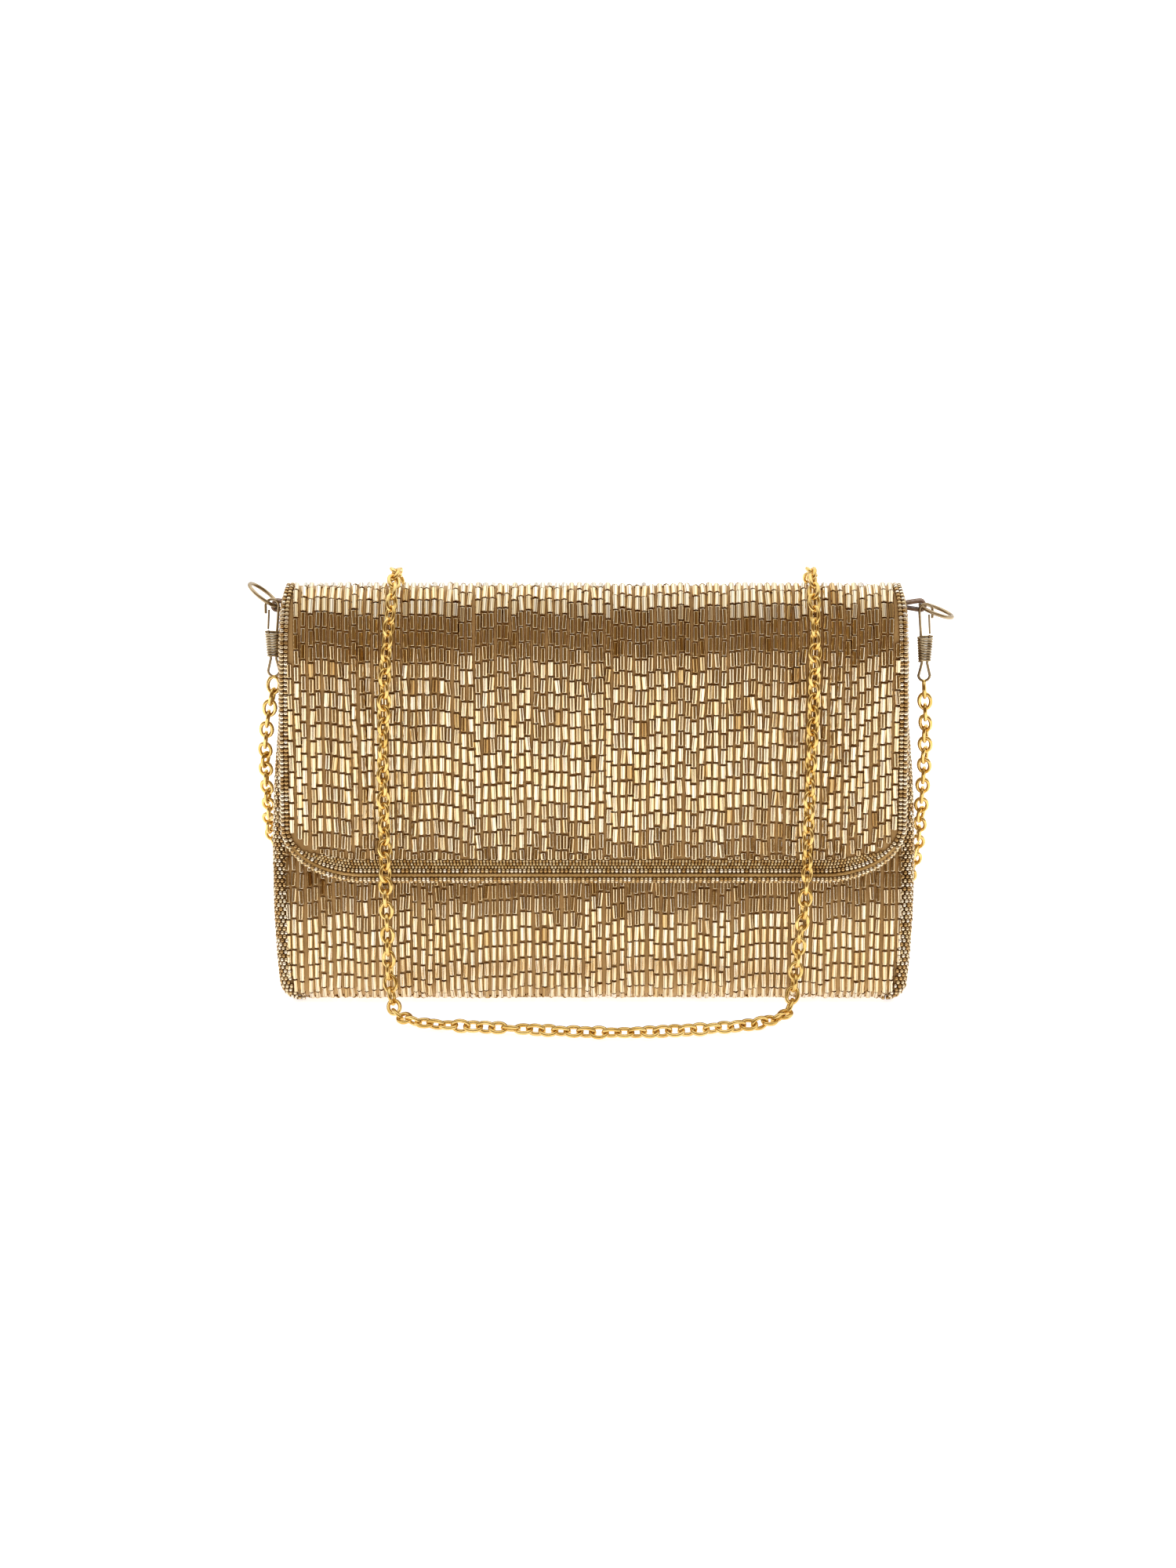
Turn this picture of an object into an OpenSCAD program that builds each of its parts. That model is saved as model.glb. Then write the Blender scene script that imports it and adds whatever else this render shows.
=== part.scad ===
// Beaded evening bag: an envelope pouch with a fold-over flap, a press magnet,
// two end rings in sewn tabs, two wire clips and a draped chain strap.
// Millimetres. +Z is up, the front faces -Y, and the origin is on the base
// plane, under the middle of the pouch.

/* [Pouch] */
// Full width over the gussets at their widest
bag_w = 219; // [208:1:230]
// Depth of the base, front to back
base_d = 40; // [38:1:44]
// Height of the fold line, where the flap leaves the back panel
fold_z = 131; // [128:1:134]
// Radius of the bottom edges and corners
bottom_r = 8; // [7:0.5:9]
// Thickness of the beaded cloth: glass beads and their backing
shell_t = 2.6; // [2.2:0.1:2.8]

/* [Flap] */
// Half width of the flap at its widest
flap_half = 106; // [104:0.5:109]
// Height of the flap's lower edge above the base plane
flap_z = 45; // [40:1:55]
// Half the depth of the roll over the top of the bag
roll_r = 14; // [13.5:0.5:15]
// Height of the roll above the level where the flap's front is upright
roll_h = 26; // [24:1:28]
// Width and height of the flap's rounded lower corners
flap_corner = [28, 19]; // [16:1:34]
// Width of the seed bead edging
edging_w = 5; // [4:0.5:6]
// Thickness of the whole flap
flap_t = 4; // [4:0.1:4.2]
// Gap between the flap's lining and the beads of the front panel
flap_gap = 2; // [1.8:0.1:2.4]

/* [Hardware] */
// Outer diameter of an end ring
ring_d = 12.9; // [12:0.1:14]
// Diameter of the ring's wire
ring_wire = 1.3; // [1.1:0.1:1.4]
// Upward tilt of the left ring, in degrees
ring_tilt_left = 38; // [20:1:45]
// Upward tilt of the right ring, in degrees
ring_tilt_right = -20; // [-30:1:20]
// Diameter of the clip's wire
clip_wire = 0.9; // [0.8:0.05:1]
// Turns in the whipping round a clip
coil_turns = 9; // [6:1:9]
// Diameter of the magnetic snap
snap_d = 14; // [12:0.5:15]

/* [Chain] */
// Width of the chain over its links
chain_d = 5; // [4.5:0.1:5]

/* [Hidden] */

far = 300;                       // longer than any side, for cutting prisms
half_w = bag_w / 2;
base_y = base_d / 2;
wide_z = 50;                     // height at which the gussets bulge most
top_narrow = 8.2;                // how much narrower each side is at the fold
low_narrow = 2.5;                // and at the base
flap_narrow = 1;                 // how much narrower each side of the flap is at the fold
flap_top_narrow = 1;             // and how much more at the top of the roll
roll_y = -4;                     // the roll's axis
roll_z = 145 - roll_h;           // the roll springs from here
fold_y = roll_y + roll_r * sqrt(1 - pow((fold_z - roll_z) / roll_h, 2));
flap_front = roll_y - roll_r;    // the flap's outer face where the roll ends
flap_lean = 1.5;                 // how far the flap leans forward by its lower edge
flap_flare = 3;                  // and flares out there over the full pouch
belly_z = 14;                    // below this the front panel is upright
front_top = 128;                 // top edge of the front panel
lining_top = 126;
fold_gap = 0.3;                  // the flap clears the top edges of the back and gussets
board_in = [shell_t + 0.2, shell_t + 1.3];
lining_in = [shell_t + 2, shell_t + 2.5];
steps = 8;                       // points along each quarter of a round stretch

// Half width of the pouch at a height.
function side_x(z) = z > wide_z
    ? half_w - top_narrow * pow((min(z, fold_z) - wide_z) / (fold_z - wide_z), 2)
    : half_w - low_narrow * pow((wide_z - z) / wide_z, 2);

// The roll's outline above roll_z, as a half depth.
function roll_reach(z) = roll_r * sqrt(max(0, 1 - pow((z - roll_z) / roll_h, 2)));

// The flap's outer face, seen from the side.
function flap_y(z) = z > roll_z ? roll_y - roll_reach(z)
    : let (s = (roll_z - z) / (roll_z - flap_z)) flap_front - flap_lean * s - flap_flare * pow(s, 5);
function flap_slope(z) = (flap_y(z + 0.1) - flap_y(z - 0.1)) / 0.2;

// The front panel's bead face: it follows the flap, then swells to an upright foot.
function under_flap_y(z) = flap_y(z) + (flap_t + flap_gap) * sqrt(1 + pow(flap_slope(z), 2));
function belly_y(z) = let (run = flap_z - belly_z, t = (flap_z - z) / run,
        start = under_flap_y(flap_z), pull = -flap_slope(flap_z + 0.1) * run)
    (2 * pow(t, 3) - 3 * t * t + 1) * start
    + (pow(t, 3) - 2 * t * t + t) * pull
    + (3 * t * t - 2 * pow(t, 3)) * -base_y;
function front_y(z) = z >= flap_z ? under_flap_y(z) : z > belly_z ? belly_y(z) : -base_y;

// The back panel's bead face: upright at the foot and at the roll, which it then follows.
function back_y(z) = z > roll_z ? roll_y + roll_reach(z)
    : let (u = (roll_z - z) / (roll_z - belly_z - 2), foot = base_y - roll_y - roll_r)
        roll_y + roll_r + foot * (1 - cos(180 * min(1, u))) / 2;

function span(from, to, count) = [for (i = [0 : count]) from + (to - from) * i / count];
function reversed(list) = [for (i = [len(list) - 1 : -1 : 0]) list[i]];

// Lines in the side view (y, z), each at a depth d inside the bead face.
function front_line(d, top, low = bottom_r) =
    [for (z = span(top, max(low, bottom_r), 16)) [front_y(z) + d, z]];
function back_line(d, top, low = bottom_r) =
    [for (z = span(top, max(low, bottom_r), 14)) [back_y(z) - d, z]];
function foot_arc(side, d) = [for (a = span(0, 90, steps))
    [side * (base_y - bottom_r + (bottom_r - d) * cos(a)), bottom_r - (bottom_r - d) * sin(a)]];
// The roll and the flap's front, each at a depth d along the normal.
roll_start = asin((fold_z - roll_z) / roll_h);
function roll_point(a, d) = let (n = [cos(a) / roll_r, sin(a) / roll_h])
    [roll_y + roll_r * cos(a), roll_z + roll_h * sin(a)] - d * n / norm(n);
function roll_arc(d) = concat([[roll_y + roll_r * cos(roll_start) - d / 0.96, fold_z]],
    [for (a = span(roll_start, 180, 4 * steps)) if (roll_point(a, d)[1] > fold_z || a > 90) roll_point(a, d)]);
function flap_line(d, top, low) = [for (z = span(top, low, 14)) [flap_y(z)
    + d * sqrt(1 + pow(flap_slope(min(z, roll_z - 0.2)), 2)), z]];

function strip(outer, inner) = concat(outer, reversed(inner));
function front_strip(d, top) = strip(concat(front_line(d[0], top), foot_arc(-1, d[0])),
    concat(front_line(d[1], top), foot_arc(-1, d[1])));
function back_strip(d, top) = strip(concat(back_line(d[0], top), foot_arc(1, d[0])),
    concat(back_line(d[1], top), foot_arc(1, d[1])));
function pouch_section(d, top) = concat(front_line(d, top), foot_arc(-1, d),
    reversed(foot_arc(1, d)), reversed(back_line(d, top)));
function flap_strip(d) = strip(concat(roll_arc(d[0]), flap_line(d[0], roll_z - 2, flap_z)),
    concat(roll_arc(d[1]), flap_line(d[1], roll_z - 2, flap_z)));

// A side view drawn in (y, z), as a prism across the bag.
module across(points, half = far) {
    rotate([90, 0, 90]) linear_extrude(height = 2 * half, center = true) polygon(points);
}

// A front view drawn in (x, z), as a prism from front to back.
module through() {
    rotate([90, 0, 0]) linear_extrude(height = far, center = true) children();
}

// One side of the pouch's front outline at a depth d, from its top to the base.
function side_line(d) = concat(
    [for (z = concat([far], span(fold_z, bottom_r, 12))) [side_x(z) - d, z]],
    [for (a = span(0, 90, steps)) [side_x(bottom_r) - bottom_r + (bottom_r - d) * cos(a),
        bottom_r - (bottom_r - d) * sin(a)]]);
module pouch_outline(d) {
    right = side_line(d);
    polygon(concat(right, [for (p = reversed(right)) [-p[0], p[1]]]));
}
// The front and back panels: inside the gussets, and down to the ground.
module panel_outline() {
    right = concat(side_line(shell_t), [[side_x(bottom_r) - bottom_r, 0]]);
    polygon(concat(right, [for (p = reversed(right)) [-p[0], p[1]]]));
}

// The flap's front outline, d inside its edge.
function flap_x(z) = flap_half - flap_narrow * pow(max(0, z - 66) / (fold_z - 66), 2)
    - flap_top_narrow * pow(max(0, z - fold_z) / (roll_z + roll_h - fold_z), 4);
function flap_side(d) = concat([for (z = span(roll_z + roll_h, flap_z + flap_corner[1], 20)) [flap_x(z) - d, z]],
    [for (a = span(0, 90, 12)) if (a > 0) [flap_half - flap_corner[0] + (flap_corner[0] - d) * cos(a),
        flap_z + flap_corner[1] - (flap_corner[1] - d) * sin(a)]]);
module flap_outline(d) {
    right = concat([[flap_x(roll_z + roll_h) - d, far]], flap_side(d));
    polygon(concat(right, [for (p = reversed(right)) [-p[0], p[1]]]));
}

/* ---- pouch ---- */

module front_panel() {
    color("goldenrod") difference() {
        intersection() {
            across(front_strip([0, shell_t], front_top));
            through() panel_outline();
        }
        at_snap() cylinder(d = snap_d + 1, h = 10, $fn = 48);
        snap_slots();
    }
}
module back_panel() {
    color("goldenrod") intersection() {
        across(back_strip([0, shell_t], fold_z - fold_gap));
        through() panel_outline();
    }
}
module base_panel() {
    foot = base_y - bottom_r;
    corner_x = side_x(bottom_r) - bottom_r;
    color("peru") translate([-corner_x, -foot, 0]) cube([2 * corner_x, 2 * foot, shell_t]);
}

// An end wall of the pouch. It stands up inside the roll to carry the ring tab.
tab_wall = [7.3, 17.2];          // half its depth, and its height over roll_z
module gusset(side) {
    color("tan") intersection() {
        union() {
            across(pouch_section(0, fold_z - fold_gap));
            across([for (a = span(0, 180, 24))
                [roll_y + tab_wall[0] * cos(a), roll_z + tab_wall[1] * sin(a)]]);
        }
        through() difference() {
            pouch_outline(0);
            panel_outline();
        }
        translate([side * far / 2, 0, 0]) cube([far, far, 2 * far], center = true);
    }
}
module gusset_left() { gusset(-1); }
module gusset_right() { gusset(1); }

board_edge = 6;                  // how far the boards stay inside the outline
module front_board() {
    color("wheat") difference() {
        intersection() {
            across(strip(front_line(board_in[0], 118, 16), front_line(board_in[1], 118, 16)));
            through() pouch_outline(board_edge);
        }
        snap_slots();
    }
}
module back_board() {
    color("wheat") intersection() {
        across(strip(back_line(board_in[0], 118, 16), back_line(board_in[1], 118, 16)));
        through() pouch_outline(board_edge);
    }
}
module base_board() {
    foot = base_y - bottom_r;
    color("wheat") translate([-half_w + 14, -foot, shell_t])
        cube([2 * (half_w - 14), 2 * foot, 1.5]);
}

module lining_pouch() {
    seam = 0.5;                  // gap between the lining and the gussets
    color("khaki") difference() {
        intersection() {
            across(pouch_section(lining_in[0], lining_top));
            through() pouch_outline(shell_t + seam);
        }
        intersection() {
            across(pouch_section(lining_in[1], lining_top));
            through() pouch_outline(shell_t + seam + lining_in[1] - lining_in[0]);
        }
    }
}

// A flat pocket on the back of the lining, open at its top edge.
pocket = [120, 42, 104];         // width, lower edge and upper edge
module slip_pocket() {
    back = lining_in[1] + 0.1;
    leaf = [back + 1.1, back + 1.6];
    hem = 1.5;                   // width of the sewn edges
    function patch(d) = let (z = span(pocket[1], pocket[2], 10))
        strip([for (h = z) [back_y(h) - d[0], h]], [for (h = z) [back_y(h) - d[1], h]]);
    color("darkkhaki") difference() {
        across(patch([back, leaf[1]]), pocket[0] / 2);
        intersection() {
            across(patch([lining_in[1] - 1, leaf[0]]), pocket[0] / 2 - hem);
            translate([-far / 2, -far / 2, pocket[1] + hem]) cube(far);
        }
    }
}

module mouth_piping() {
    r = 1.5;
    color("darkgoldenrod") translate([0, front_y(front_top) + 2.2, front_top + r])
        rotate([0, 90, 0]) cylinder(r = r, h = 2 * (side_x(fold_z) - 4), center = true, $fn = 32);
}

/* ---- magnetic snap ---- */

snap_z = 60;
snap_tilt = atan(flap_slope(snap_z));
bead_t = 2;                      // the part of the shell that is beads
socket_h = 2.5;
prong_x = 4;

// Local +Z points out of the front panel, from the cloth under its beads.
module at_snap() {
    translate([0, front_y(snap_z) + bead_t, snap_z]) rotate([90 - snap_tilt, 0, 0]) children();
}
module prongs(from, to, grow = 0) {
    for (side = [-1, 1])
        translate([side * prong_x - 0.25 - grow, -1.25 - grow, from])
            cube([0.5 + 2 * grow, 2.5 + 2 * grow, to - from]);
}
module snap_slots() { at_snap() prongs(-3, 1, 0.15); }
module snap_socket() {
    color("gold") at_snap() {
        difference() {
            cylinder(d = snap_d, h = socket_h, $fn = 48);
            translate([0, 0, 0.9]) cylinder(r = 3.9, h = socket_h, $fn = 48);
        }
        prongs(-2.3, 0.1);
    }
}
module snap_socket_washer() {
    color("silver") at_snap() difference() {
        translate([-8, -5, -2.4]) cube([16, 10, 0.4]);
        prongs(-3, 1, 0.15);
    }
}
module snap_stud() {
    plate = [2.8, 3.95];         // from the cloth, just clear of the socket
    color("gold") at_snap() union() {
        translate([0, 0, plate[0]]) cylinder(d = snap_d, h = plate[1] - plate[0], $fn = 48);
        translate([0, 0, 1.6]) cylinder(r = 2.8, h = 1.5, $fn = 48);
        prongs(plate[1] - 0.1, 5.3);
    }
}
module snap_stud_washer() {
    color("silver") at_snap() difference() {
        translate([-8, -5, 5.2]) cube([16, 10, 0.15]);
        prongs(4, 6, 0.15);
    }
}

/* ---- flap ---- */

module flap_panel() {
    color("goldenrod") intersection() {
        across(flap_strip([0, shell_t]));
        through() flap_outline(edging_w);
    }
}
module flap_edging() {
    color("tan") intersection() {
        across(flap_strip([0, shell_t]));
        through() difference() {
            flap_outline(0);
            flap_outline(edging_w);
        }
    }
}
module flap_board() {
    d = [shell_t + 0.45, flap_t - 0.5];
    color("wheat") difference() {
        intersection() {
            across(strip(flap_line(d[0], 117, flap_z), flap_line(d[1], 117, flap_z)));
            through() flap_outline(edging_w + 2);
        }
        at_snap() prongs(3, 6, 0.15);
    }
}
module flap_lining() {
    color("khaki") difference() {
        intersection() {
            across(flap_strip([flap_t - 0.4, flap_t]));
            through() flap_outline(1);
        }
        at_snap() prongs(3, 6, 0.15);
    }
}

/* ---- rings and their tabs ---- */

tab_z = 137.2;
tab_w = 3.6;
tab_t = 0.8;
tab_x = [-106.6, 110];           // the axis of each tab's loop
ring_r = (ring_d - ring_wire) / 2;
bore_r = 1.15;

module ring_tab(i) {
    side = i == 0 ? -1 : 1;
    reach = abs(tab_x[i]);
    leg_x = side_x(fold_z) - shell_t - 0.1;
    color("sienna") difference() {
        union() {
            translate([tab_x[i], roll_y, tab_z]) rotate([90, 0, 0])
                cylinder(r = bore_r + tab_t, h = tab_w, center = true, $fn = 32);
            translate([side > 0 ? leg_x - tab_t : -reach, roll_y - tab_w / 2, tab_z - tab_t / 2])
                cube([reach - leg_x + tab_t, tab_w, tab_t]);
            translate([side > 0 ? leg_x - tab_t : -leg_x, roll_y - tab_w / 2, fold_z - 2.5])
                cube([tab_t, tab_w, tab_z + tab_t / 2 - fold_z + 2.5]);
        }
        translate([tab_x[i], roll_y, tab_z]) rotate([90, 0, 0])
            cylinder(r = bore_r, h = far, center = true, $fn = 32);
    }
}
module ring_tab_left() { ring_tab(0); }
module ring_tab_right() { ring_tab(1); }

module end_ring(i, tilt) {
    side = i == 0 ? -1 : 1;
    color("rosybrown") translate([tab_x[i], roll_y, tab_z]) rotate([0, -side * tilt, 0])
        translate([side * ring_r, 0, 0])
            rotate_extrude($fn = 48) translate([ring_r, 0]) circle(d = ring_wire, $fn = 24);
}
module ring_left() { end_ring(0, ring_tilt_left); }
module ring_right() { end_ring(1, ring_tilt_right); }

/* ---- wire clips ---- */

hang = 45;                       // where on its ring a clip hangs, in degrees from the tab
wire_r = clip_wire / 2;
arch_r = 2.2;
arch_z = -0.3;
coil_top = -8.6;
coil_low = -18.6;
coil_leg = [1.5, 0.9];           // half the distance between the legs, above and below
eye_r = 1.9;
eye_z = -22.8;
tip_z = -2.6;
gate_foot = [1.5, -8.1];
gate_head = [1.1, -2];
gate_r = 0.35;
coil_wire = 0.84;

function leg_x(z) = coil_leg[1] + (coil_leg[0] - coil_leg[1]) * (z - coil_low) / (coil_top - coil_low);

// Local origin is on the ring's wire, and local +X points away from the bag.
module at_clip(i) {
    side = i == 0 ? -1 : 1;
    tilt = i == 0 ? ring_tilt_left : ring_tilt_right;
    out = ring_r * (1 - cos(hang));
    translate([tab_x[i] + side * out * cos(tilt), roll_y - ring_r * sin(hang),
        tab_z + out * sin(tilt)]) mirror([side < 0 ? 1 : 0, 0, 0]) children();
}
// A straight length of round wire in the (x, z) plane, with slightly larger ball ends.
module rod(a, b, r, balls = [1, 1]) {
    run = [b[0] - a[0], b[1] - a[1]];
    translate([a[0], 0, a[1]]) rotate([0, atan2(run[0], run[1]), 0])
        cylinder(r = r, h = norm(run), $fn = 24);
    if (balls[0] > 0) translate([a[0], 0, a[1]]) sphere(r = r * 1.06, $fn = 24);
    if (balls[1] > 0) translate([b[0], 0, b[1]]) sphere(r = r * 1.06, $fn = 24);
}
// A bend of round wire in the (x, z) plane, through angles measured from +X.
module bend(centre, radius, from, turn, r) {
    translate([centre[0], 0, centre[1]]) rotate([90, 0, 0]) rotate([0, 0, from])
        rotate_extrude(angle = turn, $fn = 48) translate([radius, 0]) circle(r = r, $fn = 24);
}
module clip_hook(i) {
    color("rosybrown") at_clip(i) union() {
        bend([0, arch_z], arch_r, 0, 180, wire_r);
        rod([arch_r, arch_z], [arch_r, tip_z], wire_r, [0, 1]);
        rod([-arch_r, arch_z], [-coil_leg[0], coil_top], wire_r, [1, 1]);
        rod([-coil_leg[0], coil_top], [-coil_leg[1], coil_low], wire_r, [0, 1]);
        rod([-coil_leg[1], coil_low], [-eye_r, eye_z], wire_r, [0, 1]);
        bend([0, eye_z], eye_r, 180, 180, wire_r);
        rod([eye_r, eye_z], [coil_leg[1], coil_low], wire_r, [1, 1]);
        rod([coil_leg[1], coil_low], [leg_x(coil_top - 0.6), coil_top - 0.6], wire_r, [0, 1]);
    }
}
module clip_hook_left() { clip_hook(0); }
module clip_hook_right() { clip_hook(1); }

// One turn of the whipping: a flat ring round both legs.
module coil_turn(z) {
    reach = leg_x(z);
    lap = wire_r + coil_wire / 2;
    translate([0, 0, z]) union() {
        for (side = [0, 1]) {
            rotate([0, 0, 180 * side]) translate([reach, 0, 0]) rotate([0, 0, -90])
                rotate_extrude(angle = 180, $fn = 32) translate([lap, 0]) circle(d = coil_wire, $fn = 16);
            translate([0, (2 * side - 1) * lap, 0]) rotate([0, 90, 0])
                cylinder(d = coil_wire, h = 2 * reach, center = true, $fn = 16);
        }
    }
}
module clip_coil(i) {
    pitch = (coil_top - coil_low - coil_wire - 0.4) / (coil_turns - 1);
    color("silver") at_clip(i)
        for (turn = [0 : coil_turns - 1]) coil_turn(coil_top - coil_wire / 2 - 0.4 - turn * pitch);
}
module clip_coil_left() { clip_coil(0); }
module clip_coil_right() { clip_coil(1); }

module clip_gate(i) {
    color("rosybrown") at_clip(i) union() { rod(gate_foot, gate_head, gate_r, [1, 1]); }
}
module clip_gate_left() { clip_gate(0); }
module clip_gate_right() { clip_gate(1); }

/* ---- chain strap ---- */

// The chain's route, from the left clip round the back, over the top and down
// the front, along the ground, and the same way back to the right clip.
rear_left_route = [
    [-107.9, -8.1, 112.7], [-108.6, -8, 107], [-110.4, -6.5, 99], [-111.9, -3, 88], [-112.5, 3, 75],
    [-112.6, 10, 63], [-113, 17.5, 53], [-110.8, 22.6, 44], [-105.5, 26, 37], [-98.5, 27.5, 32],
    [-90.5, 27.5, 31], [-83, 26.5, 34], [-77, 25, 41], [-72.5, 23.5, 51], [-69.5, 21.6, 63],
    [-67.5, 18.8, 78], [-66.7, 15.8, 96], [-66.2, 13.7, 114], [-66, 11.7, 131]];
flap_left_route = [
    [-66, 11.7, 131], [-66, 9.1, 138.7], [-66.2, 4.7, 144.9], [-66.4, 0, 147.5], [-66.6, -4, 148.4],
    [-66.8, -8, 147.5], [-67, -12.7, 144.9], [-67.6, -17.1, 138.7], [-68.5, -19.6, 131], [-69.5, -21, 121],
    [-70.2, -21.3, 106], [-70.8, -21.6, 91], [-70.8, -22.2, 75], [-70.6, -23.5, 60],
    [-70.4, -25.6, 47]];
loop_route = [
    [-70.4, -25.6, 47], [-70.2, -26.4, 38], [-69.9, -27, 28], [-69.5, -27.8, 18], [-69, -29, 10],
    [-68, -32, 4.6], [-66.3, -36.5, 2.65], [-63, -41, 2.65], [-57, -45, 2.65], [-47, -47.5, 2.65],
    [-30, -50, 2.65], [-10, -53, 2.65], [8, -54.5, 2.65], [28, -52.5, 2.65], [45, -49, 2.65],
    [55, -45.5, 2.65], [61, -41, 2.65], [65, -36, 2.65], [66.8, -32, 4.6], [68, -29, 10],
    [69, -27.8, 18], [70.2, -27, 28], [71.4, -26.4, 38], [72.1, -25.6, 47]];
flap_right_route = [
    [72.1, -25.6, 47], [72.4, -23.5, 60], [72.8, -22.2, 75], [73.2, -21.6, 91], [73.6, -21.3, 106],
    [73.8, -21, 121], [73.8, -19.6, 131], [73.6, -17.1, 138.7], [73.4, -12.7, 144.9], [73.4, -8, 147.5],
    [73.3, -4, 148.4], [73.3, 0, 147.5], [73.3, 4.7, 144.9], [73.3, 9.1, 138.7], [73.3, 11.7, 131]];
rear_right_route = [
    [73.3, 11.7, 131], [73.4, 13.9, 113], [73.7, 16.4, 92], [74.3, 20, 72], [75.2, 23.2, 54],
    [77, 25.2, 38], [80, 26.8, 26], [84.5, 28, 18], [91, 28.8, 14], [98, 28.6, 15],
    [105, 27.5, 20], [110, 24.2, 29], [112.6, 17.5, 41], [113.2, 10, 55], [113.2, 4, 69],
    [113.2, -1, 82], [112.8, -5, 95], [112.1, -7.7, 105], [111.6, -8.1, 111.1]];
up = [0, 0, 1];
fold_dir = [0, -0.27, 0.96];     // the chain's run over the fold line
edge_dir = [0, -0.12, -1];       // and where it leaves the flap

function knot(p, i) = p[min(max(i, 0), len(p) - 1)];
function unit(v) = v / norm(v);
function run_at(q, i, ends) = i == 0 && norm(ends[0]) > 0 ? ends[0]
    : i == len(q) - 1 && norm(ends[1]) > 0 ? ends[1] : knot(q, i + 1) - knot(q, i - 1);
// Frames carried along the route without twist.
function frames(q, ends, i = 0, side = [0.1, 0.2, 1], made = []) = i >= len(q) ? made
    : let (t = unit(run_at(q, i, ends)), s = norm(cross(t, side)) < 0.3 ? [1, 0, 0] : side,
        u = unit(s - (s * t) * t))
        frames(q, ends, i + 1, u, concat(made, [[u, cross(t, u)]]));
// A tube along a route. ends gives the directions its end faces look along, or [0, 0, 0].
module tube(q, ends, sides = 8) {
    f = frames(q, ends);
    n = len(q);
    grow = 1 / sqrt(cos(180 / sides));
    points = [for (i = [0 : n - 1], k = [0 : sides - 1]) let (a = 360 * k / sides)
        q[i] + chain_d / 2 * grow * (cos(a) * f[i][0] + sin(a) * f[i][1])];
    walls = [for (i = [0 : n - 2], k = [0 : sides - 1]) let (m = (k + 1) % sides)
        [i * sides + m, i * sides + k, (i + 1) * sides + k, (i + 1) * sides + m]];
    caps = [[for (k = [0 : sides - 1]) k], [for (k = [sides - 1 : -1 : 0]) (n - 1) * sides + k]];
    color("gold") polyhedron(points, concat(walls, caps));
}
module chain_rear_left() { tube(rear_left_route, [-up, fold_dir]); }
module chain_rear_right() { tube(rear_right_route, [-fold_dir, up]); }
module chain_flap_left() { tube(flap_left_route, [fold_dir, edge_dir]); }
module chain_flap_right() { tube(flap_right_route, [-edge_dir, -fold_dir]); }
module chain_loop() { tube(loop_route, [edge_dir, -edge_dir]); }

front_panel();
back_panel();
base_panel();
gusset_left();
gusset_right();
front_board();
back_board();
base_board();
lining_pouch();
slip_pocket();
mouth_piping();
snap_socket();
snap_socket_washer();
ring_tab_left();
ring_tab_right();
flap_panel();
flap_edging();
flap_board();
flap_lining();
snap_stud();
snap_stud_washer();
ring_left();
ring_right();
clip_hook_left();
clip_hook_right();
clip_coil_left();
clip_coil_right();
clip_gate_left();
clip_gate_right();
chain_rear_left();
chain_rear_right();
chain_flap_left();
chain_flap_right();
chain_loop();
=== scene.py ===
import math

import bpy
import numpy as np
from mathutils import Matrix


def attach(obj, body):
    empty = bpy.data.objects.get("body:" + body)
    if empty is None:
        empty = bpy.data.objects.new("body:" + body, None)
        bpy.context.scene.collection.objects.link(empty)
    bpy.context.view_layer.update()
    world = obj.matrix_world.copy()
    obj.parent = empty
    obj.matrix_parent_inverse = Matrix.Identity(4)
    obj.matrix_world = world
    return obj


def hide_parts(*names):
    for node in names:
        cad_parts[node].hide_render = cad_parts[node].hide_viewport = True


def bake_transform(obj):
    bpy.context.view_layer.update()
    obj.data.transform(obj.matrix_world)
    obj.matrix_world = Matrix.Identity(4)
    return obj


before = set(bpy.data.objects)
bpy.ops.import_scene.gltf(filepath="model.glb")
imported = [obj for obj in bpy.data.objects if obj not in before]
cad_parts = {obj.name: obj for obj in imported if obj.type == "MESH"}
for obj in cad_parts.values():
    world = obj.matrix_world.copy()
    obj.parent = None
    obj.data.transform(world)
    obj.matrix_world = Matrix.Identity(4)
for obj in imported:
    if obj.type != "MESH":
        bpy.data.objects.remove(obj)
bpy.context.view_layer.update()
print("frame loaded:", len(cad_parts), "nodes")
mm = 0.001
rng = np.random.default_rng(7)


# camera
cameraSettings = {
    "target": (-0.0019, -0.010, 0.0762),  # metres: the point in the middle of the picture
    "elevation": 16.0,  # degrees above the table
    "distance": 1.185,
    "lens": 80.0,  # mm, on a 36 mm sensor side
}


def placeCamera(s):
    # looks along +Y and down by the elevation, at the target
    data = bpy.data.cameras.new("camera")
    data.lens = s["lens"]
    data.sensor_width = 36.0
    cam = bpy.data.objects.new("camera", data)
    bpy.context.scene.collection.objects.link(cam)
    e = math.radians(s["elevation"])
    x, y, z = s["target"]
    cam.location = (x, y - s["distance"] * math.cos(e), z + s["distance"] * math.sin(e))
    cam.rotation_euler = (math.pi / 2 - e, 0, 0)
    bpy.context.scene.camera = cam


placeCamera(cameraSettings)


# colours and shader nodes
def colour(hexValue):
    # sRGB hex to linear RGBA
    c = np.array([int(hexValue[i:i + 2], 16) for i in (1, 3, 5)]) / 255
    c = np.where(c <= 0.04045, c / 12.92, ((c + 0.055) / 1.055) ** 2.4)
    return (float(c[0]), float(c[1]), float(c[2]), 1.0)


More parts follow.
